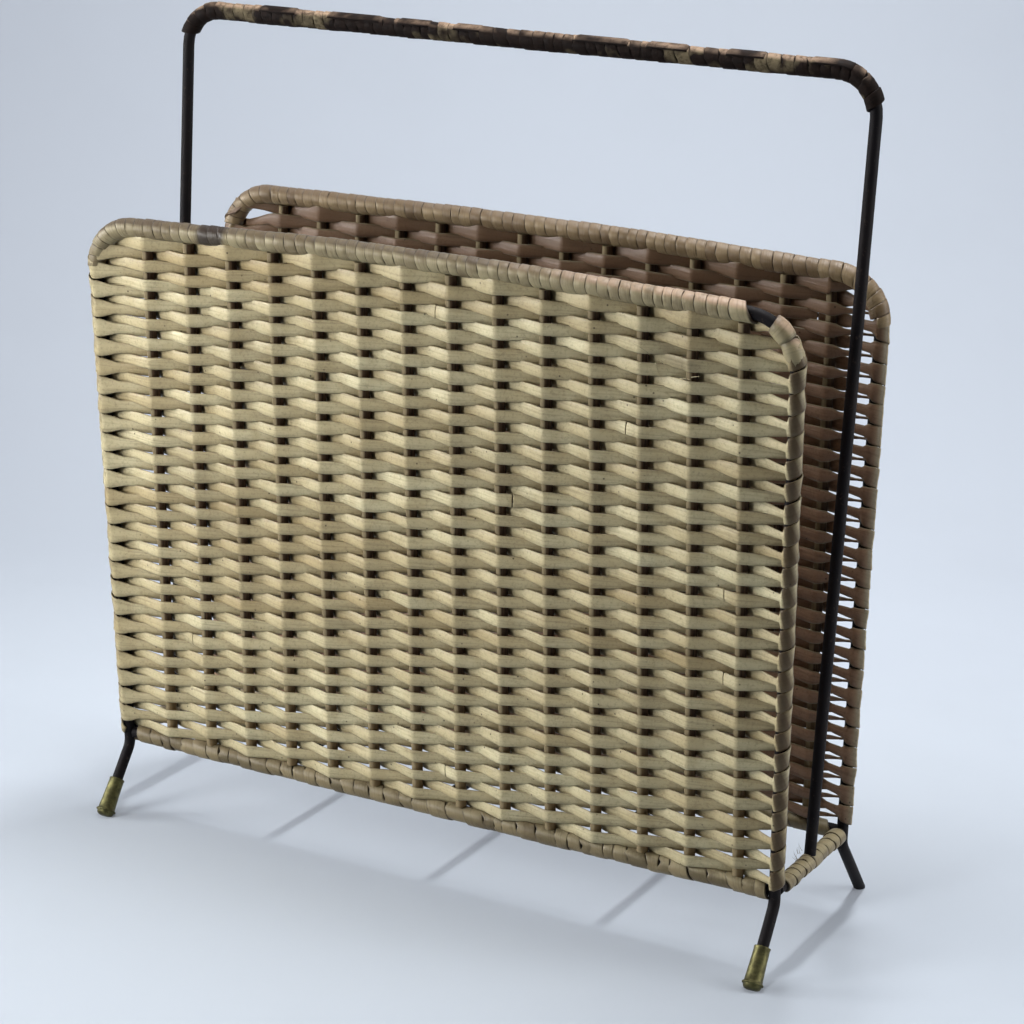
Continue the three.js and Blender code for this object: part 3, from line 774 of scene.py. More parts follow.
class BASKET_OT_handle_rod(bpy.types.Operator):
    """Add the bent rod of the carrying handle"""

    bl_idname = "basket.handle_rod"
    bl_label = "Handle rod"

    def execute(self, context):
        rod = pull_rod(handle_corners(), [settings()[0].handle_radius] * 2)
        finish_rod(rod, "handle_bar", "handle_rod")
        return {"FINISHED"}


class BASKET_OT_ferrules(bpy.types.Operator):
    """Add the brass ferrules on three feet"""

    bl_idname = "basket.ferrules"
    bl_label = "Ferrules"

    # Radius and height of each step, from the sole up to the rim and down into the bore, in millimetres
    STEPS = (
        (2.3, 0.0), (3.5, 0.35), (4.3, 1.0), (4.65, 1.9), (4.8, 2.5), (5.4, 2.75), (5.55, 3.15), (5.4, 3.6),
        (4.85, 3.9), (4.68, 4.6), (4.5, 8), (4.25, 14), (4.1, 20.6), (4.28, 21.3), (4.15, 21.9), (3.5, 21.7),
        (3.35, 17),
    )
    # Sides, the height that the ferrule leans about, and how deep the sole is worn
    SIDES = 32
    DOME = 4.6 * MM
    WORN = 0.5 * MM

    def execute(self, context):
        brass = material("tarnished_brass", draw_tarnished_brass)
        for panel in panels():
            for hand in (-1, 1):
                if (panel.name, hand) in CAPPED_FEET:
                    name = CAPPED_FEET[panel.name, hand]
                    piece = self.ferrule(foot(panel, hand), leg_bend(panel, hand))
                    finish_piece(piece, f"{name}_ferrule", brass, [f"{name}_foot_cap"])
        return {"FINISHED"}

    def ferrule(self, base, top):
        """Extrudes a ferrule upright from its domed sole, then sets it on its leg."""
        piece = round_face(self.SIDES, self.STEPS[0][0] * MM)
        for (radius, height), (next_radius, next_height) in zip(self.STEPS, self.STEPS[1:]):
            extrude((0, 0, (next_height - height) * MM))
            grow = next_radius / radius
            bpy.ops.transform.resize(value=(grow, grow, 1), center_override=(0, 0, next_height * MM))
        close_edit()
        axis = (top - base).normalized()
        piece.rotation_mode = "QUATERNION"
        piece.rotation_quaternion = UP.rotation_difference(axis)
        piece.location = base + axis * ((self.DOME - self.WORN) / axis.z - self.DOME)
        apply_place(piece)
        cut_level(piece, 0)
        smooth(piece, 50)
        return piece


# Cane


class BASKET_OT_stakes(bpy.types.Operator):
    """Add the upright cane stakes of both panels"""

    bl_idname = "basket.stakes"
    bl_label = "Stakes"

    def execute(self, context):
        stained = material("brown_stained_stake", draw_stained_stake)
        for panel in panels():
            for index in range(settings()[1].stakes):
                piece = self.stake(panel, index)
                name = f"{panel.name}_cane_stake_{index + 1}"
                finish_piece(piece, name, stained, [f"{panel.name}_stake_{index + 1}"])
        return {"FINISHED"}

    def stake(self, panel, index):
        """Pulls a round face up a panel in short stretches that wander a little, as natural cane does."""
        draw = random.Random(f"{panel.name} {index}")
        bottom, top = panel.stake_ends(index)
        place = panel.at(panel.warp_x(index, bottom), bottom, 0)
        # It is a little thinner than its node, so that the weaver clears it
        piece = round_face(STAKE_SIDES, settings()[1].stake / 2 * 0.97, place, panel.up)
        for joint in range(1, STAKE_JOINTS + 1):
            w = bottom + (top - bottom) * joint / STAKE_JOINTS
            wander = draw.uniform(-0.35, 0.35) * MM if joint < STAKE_JOINTS else 0
            target = panel.at(panel.warp_x(index, w) + wander, w, 0)
            extrude(target - place)
            place = target
        close_edit()
        apply_place(piece)
        smooth(piece)
        return piece


# Places along one span of the weave, from the crest over a stake to the next stake
SPAN_SHARES = (0.0, 0.05, 0.13, 0.3, 0.5, 0.7, 0.87, 0.95)
# Beside the right post the band is pinched before it spreads round the post
POST_SHARES = (0.0, 0.05, 0.13, 0.3, 0.5, 0.7, 0.86, 0.92, 0.95)
# Where along a span a strand may end and the next begin
SPLICE_SHARE = 0.3
# Flat cane in section: places along its height and its thickness, as shares of half of each
SECTION_SHARES = ((-1, 0), (-0.86, 0.62), (-0.45, 0.93), (0, 1), (0.45, 0.93), (0.86, 0.62),
                  (1, 0), (0.86, -0.62), (0.3, -1), (-0.3, -1), (-0.86, -0.62))
# Painted shade along the cane's edges, where one row meets the next, for the same places
EDGE_SHADE = (0.6, 0.18, 0, 0, 0, 0.18, 0.6, 0.18, 0, 0, 0.18)
# A splice, as places in millimetres along the band and shares of its section: an end, the slit, a new end
SPLICE = ((-0.7, 1.0), (-0.35, 1.0), (-0.3, 0.3), (0.2, 0.3), (0.25, 1.03), (0.6, 1.03))
# Height of the band where it is pinched beside the front's right post, and in the last row there
PINCHED = 3.9 * MM
LAST_PINCHED = 5.6 * MM
# Above this row the last ones lie close together under the top rail
PRESSED_ROW = 50
# From this row up the back's rows have slipped down beside the left post
SLIPPED_ROW = 46
# Places from the front of a post round to its back
TURN_PLACES = 7
# How far the middle of the cane lies out from the middle of the stakes, in millimetres
CANE_REACH = 4.2
# The front's scar: its middle across and up, and half its length and height
SCAR_X, SCAR_W = 139 * MM, 265 * MM
SCAR_LENGTH, SCAR_HEIGHT = 15 * MM, 7 * MM


def wobble(x, y, seed=0.0):
    """Smooth noise, mostly between -0.7 and 0.7."""
    return noise.noise(Vector((x, y, seed * 17.3)))


def ease(value):
    """Runs smoothly from 0 at 0 to 1 at 1, and stays there."""
    value = min(1.0, max(0.0, value))
    return value * value * (3 - 2 * value)


def wave(share):
    """How far out the weaver is between two crests, from 1 over a stake to -1 behind the next."""
    return 0.06 * math.cos(math.pi * share) + 0.94 * (1 - 2 * share)


def quick_exit(shown):
    """Brings the weaver out from behind a stake in a short, steep bend."""
    return shown + 0.17 * math.sin(math.pi * min(1, (shown + 1) / 0.9))


class Weaver:
    """Lays one band of flat cane through a panel, row by row, and round both posts."""

    def __init__(self, panel, seed):
        self.panel = panel
        self.front = panel.side < 0
        self.weave = settings()[1]
        self.last_row = self.weave.rows - 1
        self.seed = seed
        self.low, self.high = panel.stake_ends(0)
        self.room = panel.top_w(panel.warp_x(0, panel.slope)) - self.high
        self.points = []

    def add(self, x, w, n, height, up, hollow, may_end=False):
        """Notes one place of the band. A strand may end there, and the next begin."""
        self.points.append((self.panel.at(x, w, n), height, up, hollow, may_end))

    def row_height(self, row, s):
        """Height of the band's middle line at warp position s. The rows follow the top rail, and wander."""
        index = math.floor(s)
        level = 0.9 * self.panel.slope
        x = self.panel.warp_x(index, level)
        x += (self.panel.warp_x(index + 1, level) - x) * (s - index)
        high = self.panel.top_w(x) - self.room
        rest = self.low + (high - self.low) * (row + 0.5) / self.weave.rows
        last = row == self.last_row
        wander = 0.9 * wobble(s * 0.35, row * 0.13, self.seed)
        wander += 0.35 * wobble(s * 0.7, row * 5.3, self.seed + 9)
        sag = 0.0
        if not self.front:
            # Next to the back's left post the rows have slipped from the last one
            sag = (-1.2 if last else 4.4 * ease((row - SLIPPED_ROW) / 5)) * ease((-0.25 - s) / 0.5)
        return rest + (wander * (0.4 if row > PRESSED_ROW else 1) - sag + 0.9 * last) * MM

    def span(self, row, index, share, hand):
        """One place between warp index and the next one in the row's direction."""
        stakes = self.weave.stakes
        s = index + hand * share
        w = self.row_height(row, s)
        x_here = self.panel.warp_x(index, w)
        x_next = self.panel.warp_x(index + hand, w)
        x = x_here + (x_next - x_here) * share
        side = (1 if (index + row) % 2 == 0 else -1) * wave(share)
        reach = (CANE_REACH + 0.2 * wobble(s * 0.9, row * 3.1, self.seed + 1)) * MM
        # The side of the panel that shows has shorter crests, so that the stakes show between them
        shown = side if self.front else -side
        height = self.height(row, s, share, shown)
        if s > stakes - 1:
            height = self.beside_right_post(row, s - stakes + 1, height)
            if row == self.last_row:
                # The last row rises onto the bare rod, under the knuckles
                w += 2.6 * MM * ease((s - stakes + 0.9) / 0.6)
        # Where the band lies deep behind a stake it is painted dark, as shade in the recess
        hollow = min(1, max(0, 3.0 * (-shown - 0.8) + 0.1 * wobble(s, row, self.seed + 5)))
        hollow = max(hollow, self.scar(x, w) if side > -0.3 else 0)
        may_end = share == SPLICE_SHARE and side > 0
        side = quick_exit(side) if self.front else -quick_exit(-side)
        if row == self.last_row:
            # The last row dives under the first knuckle
            side *= 1 - 0.5 * ease((s - stakes + 0.5) / 0.3)
        # The band where it reaches the front's right post is drawn dark, like that post's front
        if self.front and index == stakes and share == 0:
            hollow = 0.85
        self.add(x, w, side * reach, height, self.panel.up, hollow, may_end)

    def height(self, row, s, share, shown):
        """Height of the band at warp position s: crests and crossings, and what the edges do to them."""
        inner = self.weave.inner_height
        bulge = abs(math.cos(math.pi * share)) ** 0.7
        crest = self.weave.crest_height * (1 + 0.19 * wobble(s * 1.3, row * 2.7, self.seed + 2))
        crest = inner + (crest - inner) * ease(0.5 + 1.5 * shown)
        crossing = self.weave.crossing_height * (1 + 0.08 * wobble(s * 1.1, row * 1.9, self.seed + 3))
        height = (crossing + (crest - crossing) * bulge) * self.thinning(row, s)
        # The last rows are pressed up under the lapping
        height += {self.last_row: 1.8, self.last_row - 1: 0.6}.get(row, 0) * MM
        near_left = 1 - ease((s + 1 - 0.06) / 0.2)
        height += (self.weave.left_turn - height) * near_left
        if not self.front and row > PRESSED_ROW:
            height += (5.0 * MM - height) * ease((-0.1 - s) / 0.3)
        return height

    def beside_right_post(self, row, share, height):
        """Height of the band between the last stake and the right post."""
        if row == self.last_row:
            return min(height, LAST_PINCHED)
        if not self.front:
            # Every second row is thin there, and leaves a window
            thin = 0.5 * ease((share - 0.1) / 0.2) + 0.32 * ease((share - 0.45) / 0.2)
            if row % 2 == 1:
                thin = 0.22 * ease((share - 0.3) / 0.25)
            return height * (1 - thin) + (self.weave.right_turn - height) * ease((share - 0.86) / 0.06)
        height += (PINCHED - height) * ease((share - 0.35) / 0.5)
        return height + (self.weave.right_turn - PINCHED) * ease((share - 0.92) / 0.03)

    def thinning(self, row, s):
        """Rows near the bottom are narrower, so light shows between them."""
        open_edge = 0.06 * ease((1.2 - s) / 1.2) if self.front else 0
        return 1 - 0.06 * ease((5 - row) / 5) - open_edge

    def scar(self, x, w):
        """Dark bruise where the cane of the front panel has frayed."""
        if not self.front:
            return 0.0
        away = math.hypot((x - SCAR_X) / SCAR_LENGTH, (w - SCAR_W) / SCAR_HEIGHT)
        return max(0.0, 1.0 - away) * (0.75 + 0.8 * wobble(x * 700, w * 700, 3))

    def turn(self, row, hand, first=1):
        """Round the outside of a post, from its front to its back, up to the next row."""
        radius = settings()[0].rod / 2 + self.weave.thickness / 2 + SEAT_GAP
        s = self.weave.stakes if hand > 0 else -1
        base = self.weave.right_turn if hand > 0 else self.weave.left_turn
        for place in range(first, TURN_PLACES):
            share = place / TURN_PLACES
            angle = math.pi / 2 - math.pi * share
            w = self.row_height(row, s) * (1 - share) + self.row_height(row + 1, s) * share
            centre, lean = self.panel.post(hand, w)
            outward = radius / math.cos(lean) * math.cos(angle)
            up = self.panel.up * math.cos(lean) - Vector((hand * math.sin(lean), 0, 0))
            height = base * (1 + 0.07 * wobble(row * 1.7, hand, self.seed))
            if row < 0:
                height *= 0.4 + 0.6 * ease(share * 1.6)
            # The turns round a post are drawn a little dark, most on the post's outer side
            hollow = 0.3 + 0.15 * math.cos(angle) ** 2
            if hand > 0 and self.front:
                # The front of this post is drawn dark
                hollow = 0.03 + 0.95 * max(0.0, math.cos(1.3 * (angle - 0.9)))
            self.add(centre + hand * outward, w, radius * math.sin(angle), height, up, hollow)

    def lay(self):
        """All rows, from the bottom left to the top."""
        stakes = self.weave.stakes
        self.turn(-1, -1, 0)
        for row in range(self.weave.rows):
            hand = 1 if row % 2 == 0 else -1
            index, last = (-1, stakes) if hand > 0 else (stakes, -1)
            while index != last:
                beside_post = index == stakes - 1 and hand > 0
                for share in POST_SHARES if beside_post else SPAN_SHARES:
                    self.span(row, index, share, hand)
                index += hand
            self.span(row, last, 0.0, hand)
            if row < self.last_row:
                self.turn(row, hand)

    def piece(self, name):
        """The band as a mesh, made of strands that end and begin behind a short slit."""
        draw = random.Random(self.seed)
        rings, uvs, hollows, shades = [], [], [], []
        travelled = 0.0
        strand = draw.random()
        strand_end = draw.uniform(0.9, 1.6)
        thick = self.weave.thickness
        count = len(self.points)
        for i, (point, height, up, hollow, may_end) in enumerate(self.points):
            before = self.points[max(i - 1, 0)][0]
            after = self.points[min(i + 1, count - 1)][0]
            along = (after - before).normalized()
            out = along.cross(up).normalized()
            rise = out.cross(along).normalized()
            lean = 0.22 * wobble(i * 0.11, 0.5, self.seed + 4)
            rise = (rise + out * lean).normalized()
            out = along.cross(rise).normalized()
            travelled += (point - before).length if i else 0.0
            steps = ((0.0, 1.0),)
            if may_end and travelled > strand_end:
                strand_end = travelled + draw.uniform(2.2, 4.0)
                strand = draw.random()
                steps = SPLICE
            tone = 0.5 * strand + 0.3 + 0.7 * wobble(travelled * 9, 0.3, self.seed + 6)
            for shift, cut in steps:
                place = point + along * (shift * MM)
                rings.append([
                    place + rise * (v * height / 2 * cut) + out * (n * thick / 2 * cut)
                    for v, n in SECTION_SHARES
                ])
                uvs.append(travelled + shift * MM)
                # Painted shade: the cane's edges take the edge shade, and inside a splice's slit it is dark
                # throughout
                hollows += [max(hollow, dust_and_shade) if cut > 0.5 else 1.0 for dust_and_shade in EDGE_SHADE]
                shades.append(min(1.0, max(0.0, tone)))
        return mesh_from_rings(name, rings, uvs, hollows, shades)


def weaver_cane(panel):
    """Cane of a panel's weaver, bleached outside and brown inside."""
    return material(f"{panel.name}_split_cane", draw_split_cane, panel.side)


class BASKET_OT_weavers(bpy.types.Operator):
    """Weave the flat cane of both panels"""

    bl_idname = "basket.weavers"
    bl_label = "Weavers"

    def execute(self, context):
        for seed, panel in enumerate(panels()):
            weaver = Weaver(panel, seed + 1)
            weaver.lay()
            piece = weaver.piece(f"{panel.name}_cane_weave")
            finish_piece(piece, piece.name, weaver_cane(panel), [f"{panel.name}_weaver"])
        return {"FINISHED"}


# Lapping in section: place across the strip, height over the lapping's radius in millimetres, and painted
# shade
LAP_PROFILE = (
    (-1.0, None, 1.0), (-1.0, -0.25, 0.8), (-0.93, 0.08, 0.35), (-0.83, 0.16, 0.0), (0.0, 0.12, 0.0),
    (0.83, -0.04, 0.0), (0.93, -0.1, 0.35), (1.0, -0.35, 0.8), (1.0, None, 1.0),
)
# A knuckle is one swollen turn that stands by itself. Its last column is painted shade too
KNUCKLE_PROFILE = (
    (-1.0, None, 1.0), (-1.0, -0.8, 0.8), (-0.9, -0.4, 0.4), (-0.55, -0.1, 0.0), (0.0, 0.15, 0.0),
    (0.55, -0.1, 0.0), (0.9, -0.4, 0.4), (1.0, -0.8, 0.8), (1.0, None, 1.0),
)
# Rings in one turn of a strip
TURN_STEPS = 20


def lap_ring(route, low, high, radius, angle, profile):
    """Section of a strip that lies on a rod from one distance to another, at an angle round the rod."""
    inner = settings()[0].rod / 2 + SEAT_GAP / 2
    ring = []
    for across, height, _ in profile:
        reach = inner if height is None else radius + height * MM
        ring.append(route.beside((low + high) / 2 + across * (high - low) / 2, reach, angle))
    return ring


def strip_mesh(name, rings, diameter, tints, profile):
    """The mesh of a strip that is wound round a rod."""
    uvs = [math.pi * diameter * step / TURN_STEPS for step in range(len(rings))]
    return mesh_from_rings(name, rings, uvs, [dust_and_shade for _ in rings for _, _, dust_and_shade in profile], tints)


def lap(name, route, diameter, strip, seed, first=0.0, last=None, spread=0.2, rough=0.22, back=math.pi,
        tail=1.0):
    """Laps one flat strip round a rod, from a distance along the route to another.

    Each turn has its own width and shade, lies on the edge of the turn before, and leaves a seam that is
    painted dark, as shade. Its ends are tucked in at the angle that is the back. Tail is the last turn's
    share of a usual one.
    """
    draw = random.Random(seed)
    last = route.length if last is None else last
    turns = max(1, round((last - first) / strip) - 1)
    widths = [1 + draw.uniform(-spread, spread) for _ in range(turns + 1)]
    widths[-1] *= tail
    scale = (last - first) / sum(widths)
    starts = [first]
    for width in widths:
        starts.append(starts[-1] + width * scale)
    lifts = [draw.uniform(-rough, rough) * MM for _ in range(turns + 2)]
    tones = [draw.random() for _ in range(turns + 2)]
    rings, tints = [], []
    for step in range(turns * TURN_STEPS + 1):
        turn, share = divmod(step / TURN_STEPS, 1)
        turn = int(turn)
        if turn == turns:
            turn, share = turns - 1, 1.0
        low = starts[turn] + (starts[turn + 1] - starts[turn]) * share
        if 0 < turn < turns - 1:
            low += 0.12 * strip * spread / 0.2 * wobble(step * 0.37, seed, 3)
        high = starts[turn + 1] + (starts[turn + 2] - starts[turn + 1]) * share
        lift = lifts[turn] * (1 - share) + lifts[turn + 1] * share + rough * MM * wobble(step * 0.13, seed)
        angle = back + 2 * math.pi * share
        rings.append(lap_ring(route, low, high, diameter / 2 + lift, angle, LAP_PROFILE))
        change = ease(share * 4 - 1.5)
        tints.append(tones[turn] * (1 - change) + tones[turn + 1] * change)
    return strip_mesh(name, rings, diameter, tints, LAP_PROFILE)


def knuckle(route, low, high, diameter, seed):
    """One short swollen turn of cane, a little aslant."""
    slant = 0.9 * MM * (-1) ** seed
    rings, tints = [], []
    for step in range(TURN_STEPS + 1):
        angle = math.pi + 2 * math.pi * step / TURN_STEPS
        cosine, sine = math.cos(angle), math.sin(angle)
        shift = slant * cosine + 0.35 * MM * wobble(cosine, sine, seed)
        radius = diameter / 2 * (1 + 0.06 * wobble(sine, cosine, seed + 7))
        rings.append(lap_ring(route, low + shift, high + shift, radius, angle, KNUCKLE_PROFILE))
        tints.append(0.15 + 0.2 * wobble(step * 0.4, seed))
    return strip_mesh("knuckle", rings, diameter, tints, KNUCKLE_PROFILE)


class BASKET_OT_rail_lapping(bpy.types.Operator):
    """Lap the top rails, the bottom rails and the end rails with cane"""

    bl_idname = "basket.rail_lapping"
    bl_label = "Rail lapping"

    # Start, end and diameter of each knuckle, the first two as shares of the corner's arc
    KNUCKLES = ((0.67, 0.4, 10.2), (0.38, 0.06, 9.6))
    # Share of that arc where the lapping has come off, and how much wider its last turn has spread
    LOST_SHARE = 0.79
    LAST_TURN = 2.6
    # How far inside the posts' lines the bottom rails' lapping ends
    POST_GAP = 2 * MM
    # Strips on the end rails are this much narrower
    END_STRIP = 0.85

    def execute(self, context):
        for panel in panels():
            self.top(panel)
            start, end = (panel.at(panel.post_x(hand, 0) - hand * self.POST_GAP, 0, 0) for hand in (-1, 1))
            self.low(f"{panel.name}_bottom", start, end)
        for name in ("left_end", "right_end"):
            low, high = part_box(f"{name}_rail")
            middle = (low + high) / 2
            ends = (low.y + SEAT_GAP, high.y - SEAT_GAP)
            self.low(name, *(Vector((middle.x, y, middle.z)) for y in ends), width=self.END_STRIP)
        return {"FINISHED"}

    def top(self, panel):
        """The top rail's lapping goes round the corners. At the front it has come off the right corner."""
        steel, _, lapping, _ = settings()
        corners = [leg_bend(panel, -1), *panel.top_corners, leg_bend(panel, 1)]
        half = [steel.corner_radius, steel.crown_radius]
        route = Route(corners, half + half[::-1], panel.out)
        left = route.stretches[0].length
        right = route.length - route.stretches[-1].length
        arc = route.stretches[-2].length
        name = f"{panel.name}_top_lapping"
        worn = panel.side < 0
        end = right - arc * (self.LOST_SHARE if worn else 0.0)
        tail = self.LAST_TURN if worn else 1.0
        size, strip = lapping.top_diameter, lapping.top_strip
        pieces = [lap(name, route, size, strip, 41 + panel.side, left, end, tail=tail)]
        for seed, (start, stop, diameter) in enumerate(self.KNUCKLES if worn else ()):
            pieces.append(knuckle(route, right - arc * start, right - arc * stop, diameter * MM, seed))
        replaced = [f"{panel.name}_top_wrap"]
        finish_piece(joined(pieces), name, lapping_cane(panel.name), replaced)

    def low(self, name, start, end, width=1):
        """A rail low on the basket, lapped from end to end with strips of uneven width."""
        lapping = settings()[2]
        route = Route([start, end], [], UP)
        replaced = [node for node in sorted(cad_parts) if node.startswith(f"{name}_wrap")]
        strip = lapping.rail_strip * width
        seed = sum(map(ord, name))
        piece = lap(f"{name}_lapping", route, lapping.rail_diameter, strip, seed, spread=0.5, rough=0.4)
        finish_piece(piece, piece.name, lapping_cane("rail"), replaced)


class BASKET_OT_grip_lapping(bpy.types.Operator):
    """Lap the handle's grip and both bends with brown cane, over strips that run along its top"""

    bl_idname = "basket.grip_lapping"
    bl_label = "Grip lapping"

    # Start and end of each stretch where the lengthwise strip lies over the lapping, in millimetres
    OVERLAYS = ((26, 51), (67, 102), (110, 131), (143, 160), (210, 242), (250, 273), (292, 314), (335, 358))
    # Rings along such a stretch, and the angles round the grip that it covers
    OVERLAY_RINGS = 10
    OVERLAY_ANGLES = [math.radians(degrees) for degrees in range(88, 155, 11)]

    def execute(self, context):
        steel, _, lapping, _ = settings()
        route = Route(handle_corners(), [steel.handle_radius] * 2, Vector((0, 1, 0)))
        left, arc, _, _, right = (stretch.length for stretch in route.stretches)
        first = left + arc * 0.1
        last = route.length - right - arc * 0.02
        size = lapping.grip_diameter
        name = "handle_lapping"
        pieces = [lap(name, route, size, lapping.grip_strip, 77, first, last, spread=0.35, back=0.0)]
        for start, end in self.OVERLAYS:
            pieces.append(self.overlay(route, left + arc + start * MM, left + arc + end * MM, size / 2))
        cane = material("varnished_brown_cane", draw_varnished_cane)
        replaced = ["handle_wrap_grip", "handle_wrap_left", "handle_wrap_right"]
        finish_piece(joined(pieces), name, cane, replaced)
        return {"FINISHED"}

    def overlay(self, route, start, end, radius):
        """A thin strip along the upper front of the grip, tucked under the lapping at both ends."""
        count, angles = self.OVERLAY_RINGS, self.OVERLAY_ANGLES
        rings, uvs, hollows = [], [], []
        for step in range(count + 1):
            distance = start + (end - start) * step / count
            tucked = 0.9 if step in (0, count) else 0.0
            ring = []
            for lift, order, dust_and_shade in ((0.5, angles, 0.0), (-0.6, angles[::-1], 1.0)):
                for angle in order:
                    ring.append(route.beside(distance, radius + (lift - tucked) * MM, angle))
                    # The strip's edges are painted dark, as shade where it lies on the lapping
                    hollows.append(0.8 if angle in (angles[0], angles[-1]) else dust_and_shade)
            rings.append(ring)
            uvs.append(distance)
        return mesh_from_rings("overlay", rings, uvs, hollows, [0.3] * len(rings))


class BASKET_OT_loose_fibres(bpy.types.Operator):
    """Add the fibres that have come loose beside the handle's foot and on the front panel"""

    bl_idname = "basket.loose_fibres"
    bl_label = "Loose fibres"

    # Fibres of the scar: place across and up the front panel in millimetres, and tilt
    SCAR_FIBRES = (
        (128, 262.5, -0.9), (131, 264, -0.5), (141, 256.8, 0.2), (147, 258.2, 0.35), (125, 266, 2.4),
    )
    # How far the front of the cane lies out from the stakes' middle
    CANE_FACE = 4.6 * MM

    def execute(self, context):
        front = panels()[0]
        draw = random.Random(5)
        foot_place = handle_corners()[-1]
        pieces = []
        for _ in range(9):
            start = foot_place + Vector((-3.5, draw.uniform(-9, -2), draw.uniform(-3, 3))) * MM
            lean = Vector((draw.uniform(-1, -0.3), draw.uniform(-0.6, 0.2), draw.uniform(0.1, 1)))
            length = draw.uniform(2.5, 5) * MM
            pieces.append(self.fibre(start, lean.normalized(), UP, length, 0.16 * MM, 0.75))
        for x, w, tilt in self.SCAR_FIBRES:
            start = front.at(x * MM, w * MM, self.CANE_FACE)
            lean = (Vector((math.cos(tilt), 0, math.sin(tilt))) + front.out * 0.25).normalized()
            pieces.append(self.fibre(start, lean, front.out, draw.uniform(7, 11) * MM, 0.3 * MM, 0.3))
        finish_piece(joined(pieces), "loose_fibres", weaver_cane(front))
        return {"FINISHED"}

    def fibre(self, start, lean, curl, length, radius, dust_and_shade):
        """One thin fibre that curls towards a direction and ends in a point."""
        side = lean.cross(curl).normalized()
        out = side.cross(lean).normalized()
        rings, count = [], 8
        for step in range(count + 1):
            share = step / count
            place = start + lean * (length * share) + out * (length * 0.35 * share * share)
            thick = radius * (1 - 0.85 * share)
            rings.append([place + way * thick for way in (side, out, -side, -out)])
        uvs = [length * step / count for step in range(count + 1)]
        return mesh_from_rings("fibre", rings, uvs, [dust_and_shade] * (4 * len(rings)), [0.2] * len(rings))


# Stage

# Name, place, point that it looks at, width and height, spread in degrees, watts. The left lamps have grids.
# Places and sizes are in metres.
LAMPS = (
    ("left_key", (-1.5, -0.6, 0.55), (0, 0, 0.24), (0.5, 0.5), 50, 1.95),
    ("front_left", (-0.6, -0.72, 0.42), (-0.14, 0, 0.2), (0.28, 0.35), 90, 1.55),
    ("front_fill", (-0.9, -1.9, 1.0), (0, 0, 0.2), (1.4, 1.0), 180, 1.8),
    ("top_strip_middle", (0.0, 0.12, 1.3), (0, 0, 0), (0.1, 0.9), 180, 17),
    ("top_strip_right", (0.62, 0.12, 1.25), (0, 0, 0), (0.1, 0.9), 180, 2),
    ("right_rim", (1.15, 0.35, 0.5), (0, 0, 0.25), (0.6, 1.0), 120, 4.4),
)
# The sheet in metres: its floor's middle along y, width and depth, then the backdrop's bend and height
FLOOR_Y = -4.25
FLOOR_SIZE = (12, 9.5)
SWEEP_RADIUS = 0.55
BACKDROP_HEIGHT = 2.0
SWEEP_STEPS = 24
# The camera looks at a point this high, and that far to the right and down from it
AIM_HEIGHT = 230 * MM
AIM_RIGHT = 15.84 * MM
AIM_DOWN = 34.98 * MM


def placed(name, data):
    """A new lamp or camera in the scene."""
    made = bpy.data.objects.new(name, data)
    bpy.context.scene.collection.objects.link(made)
    return made


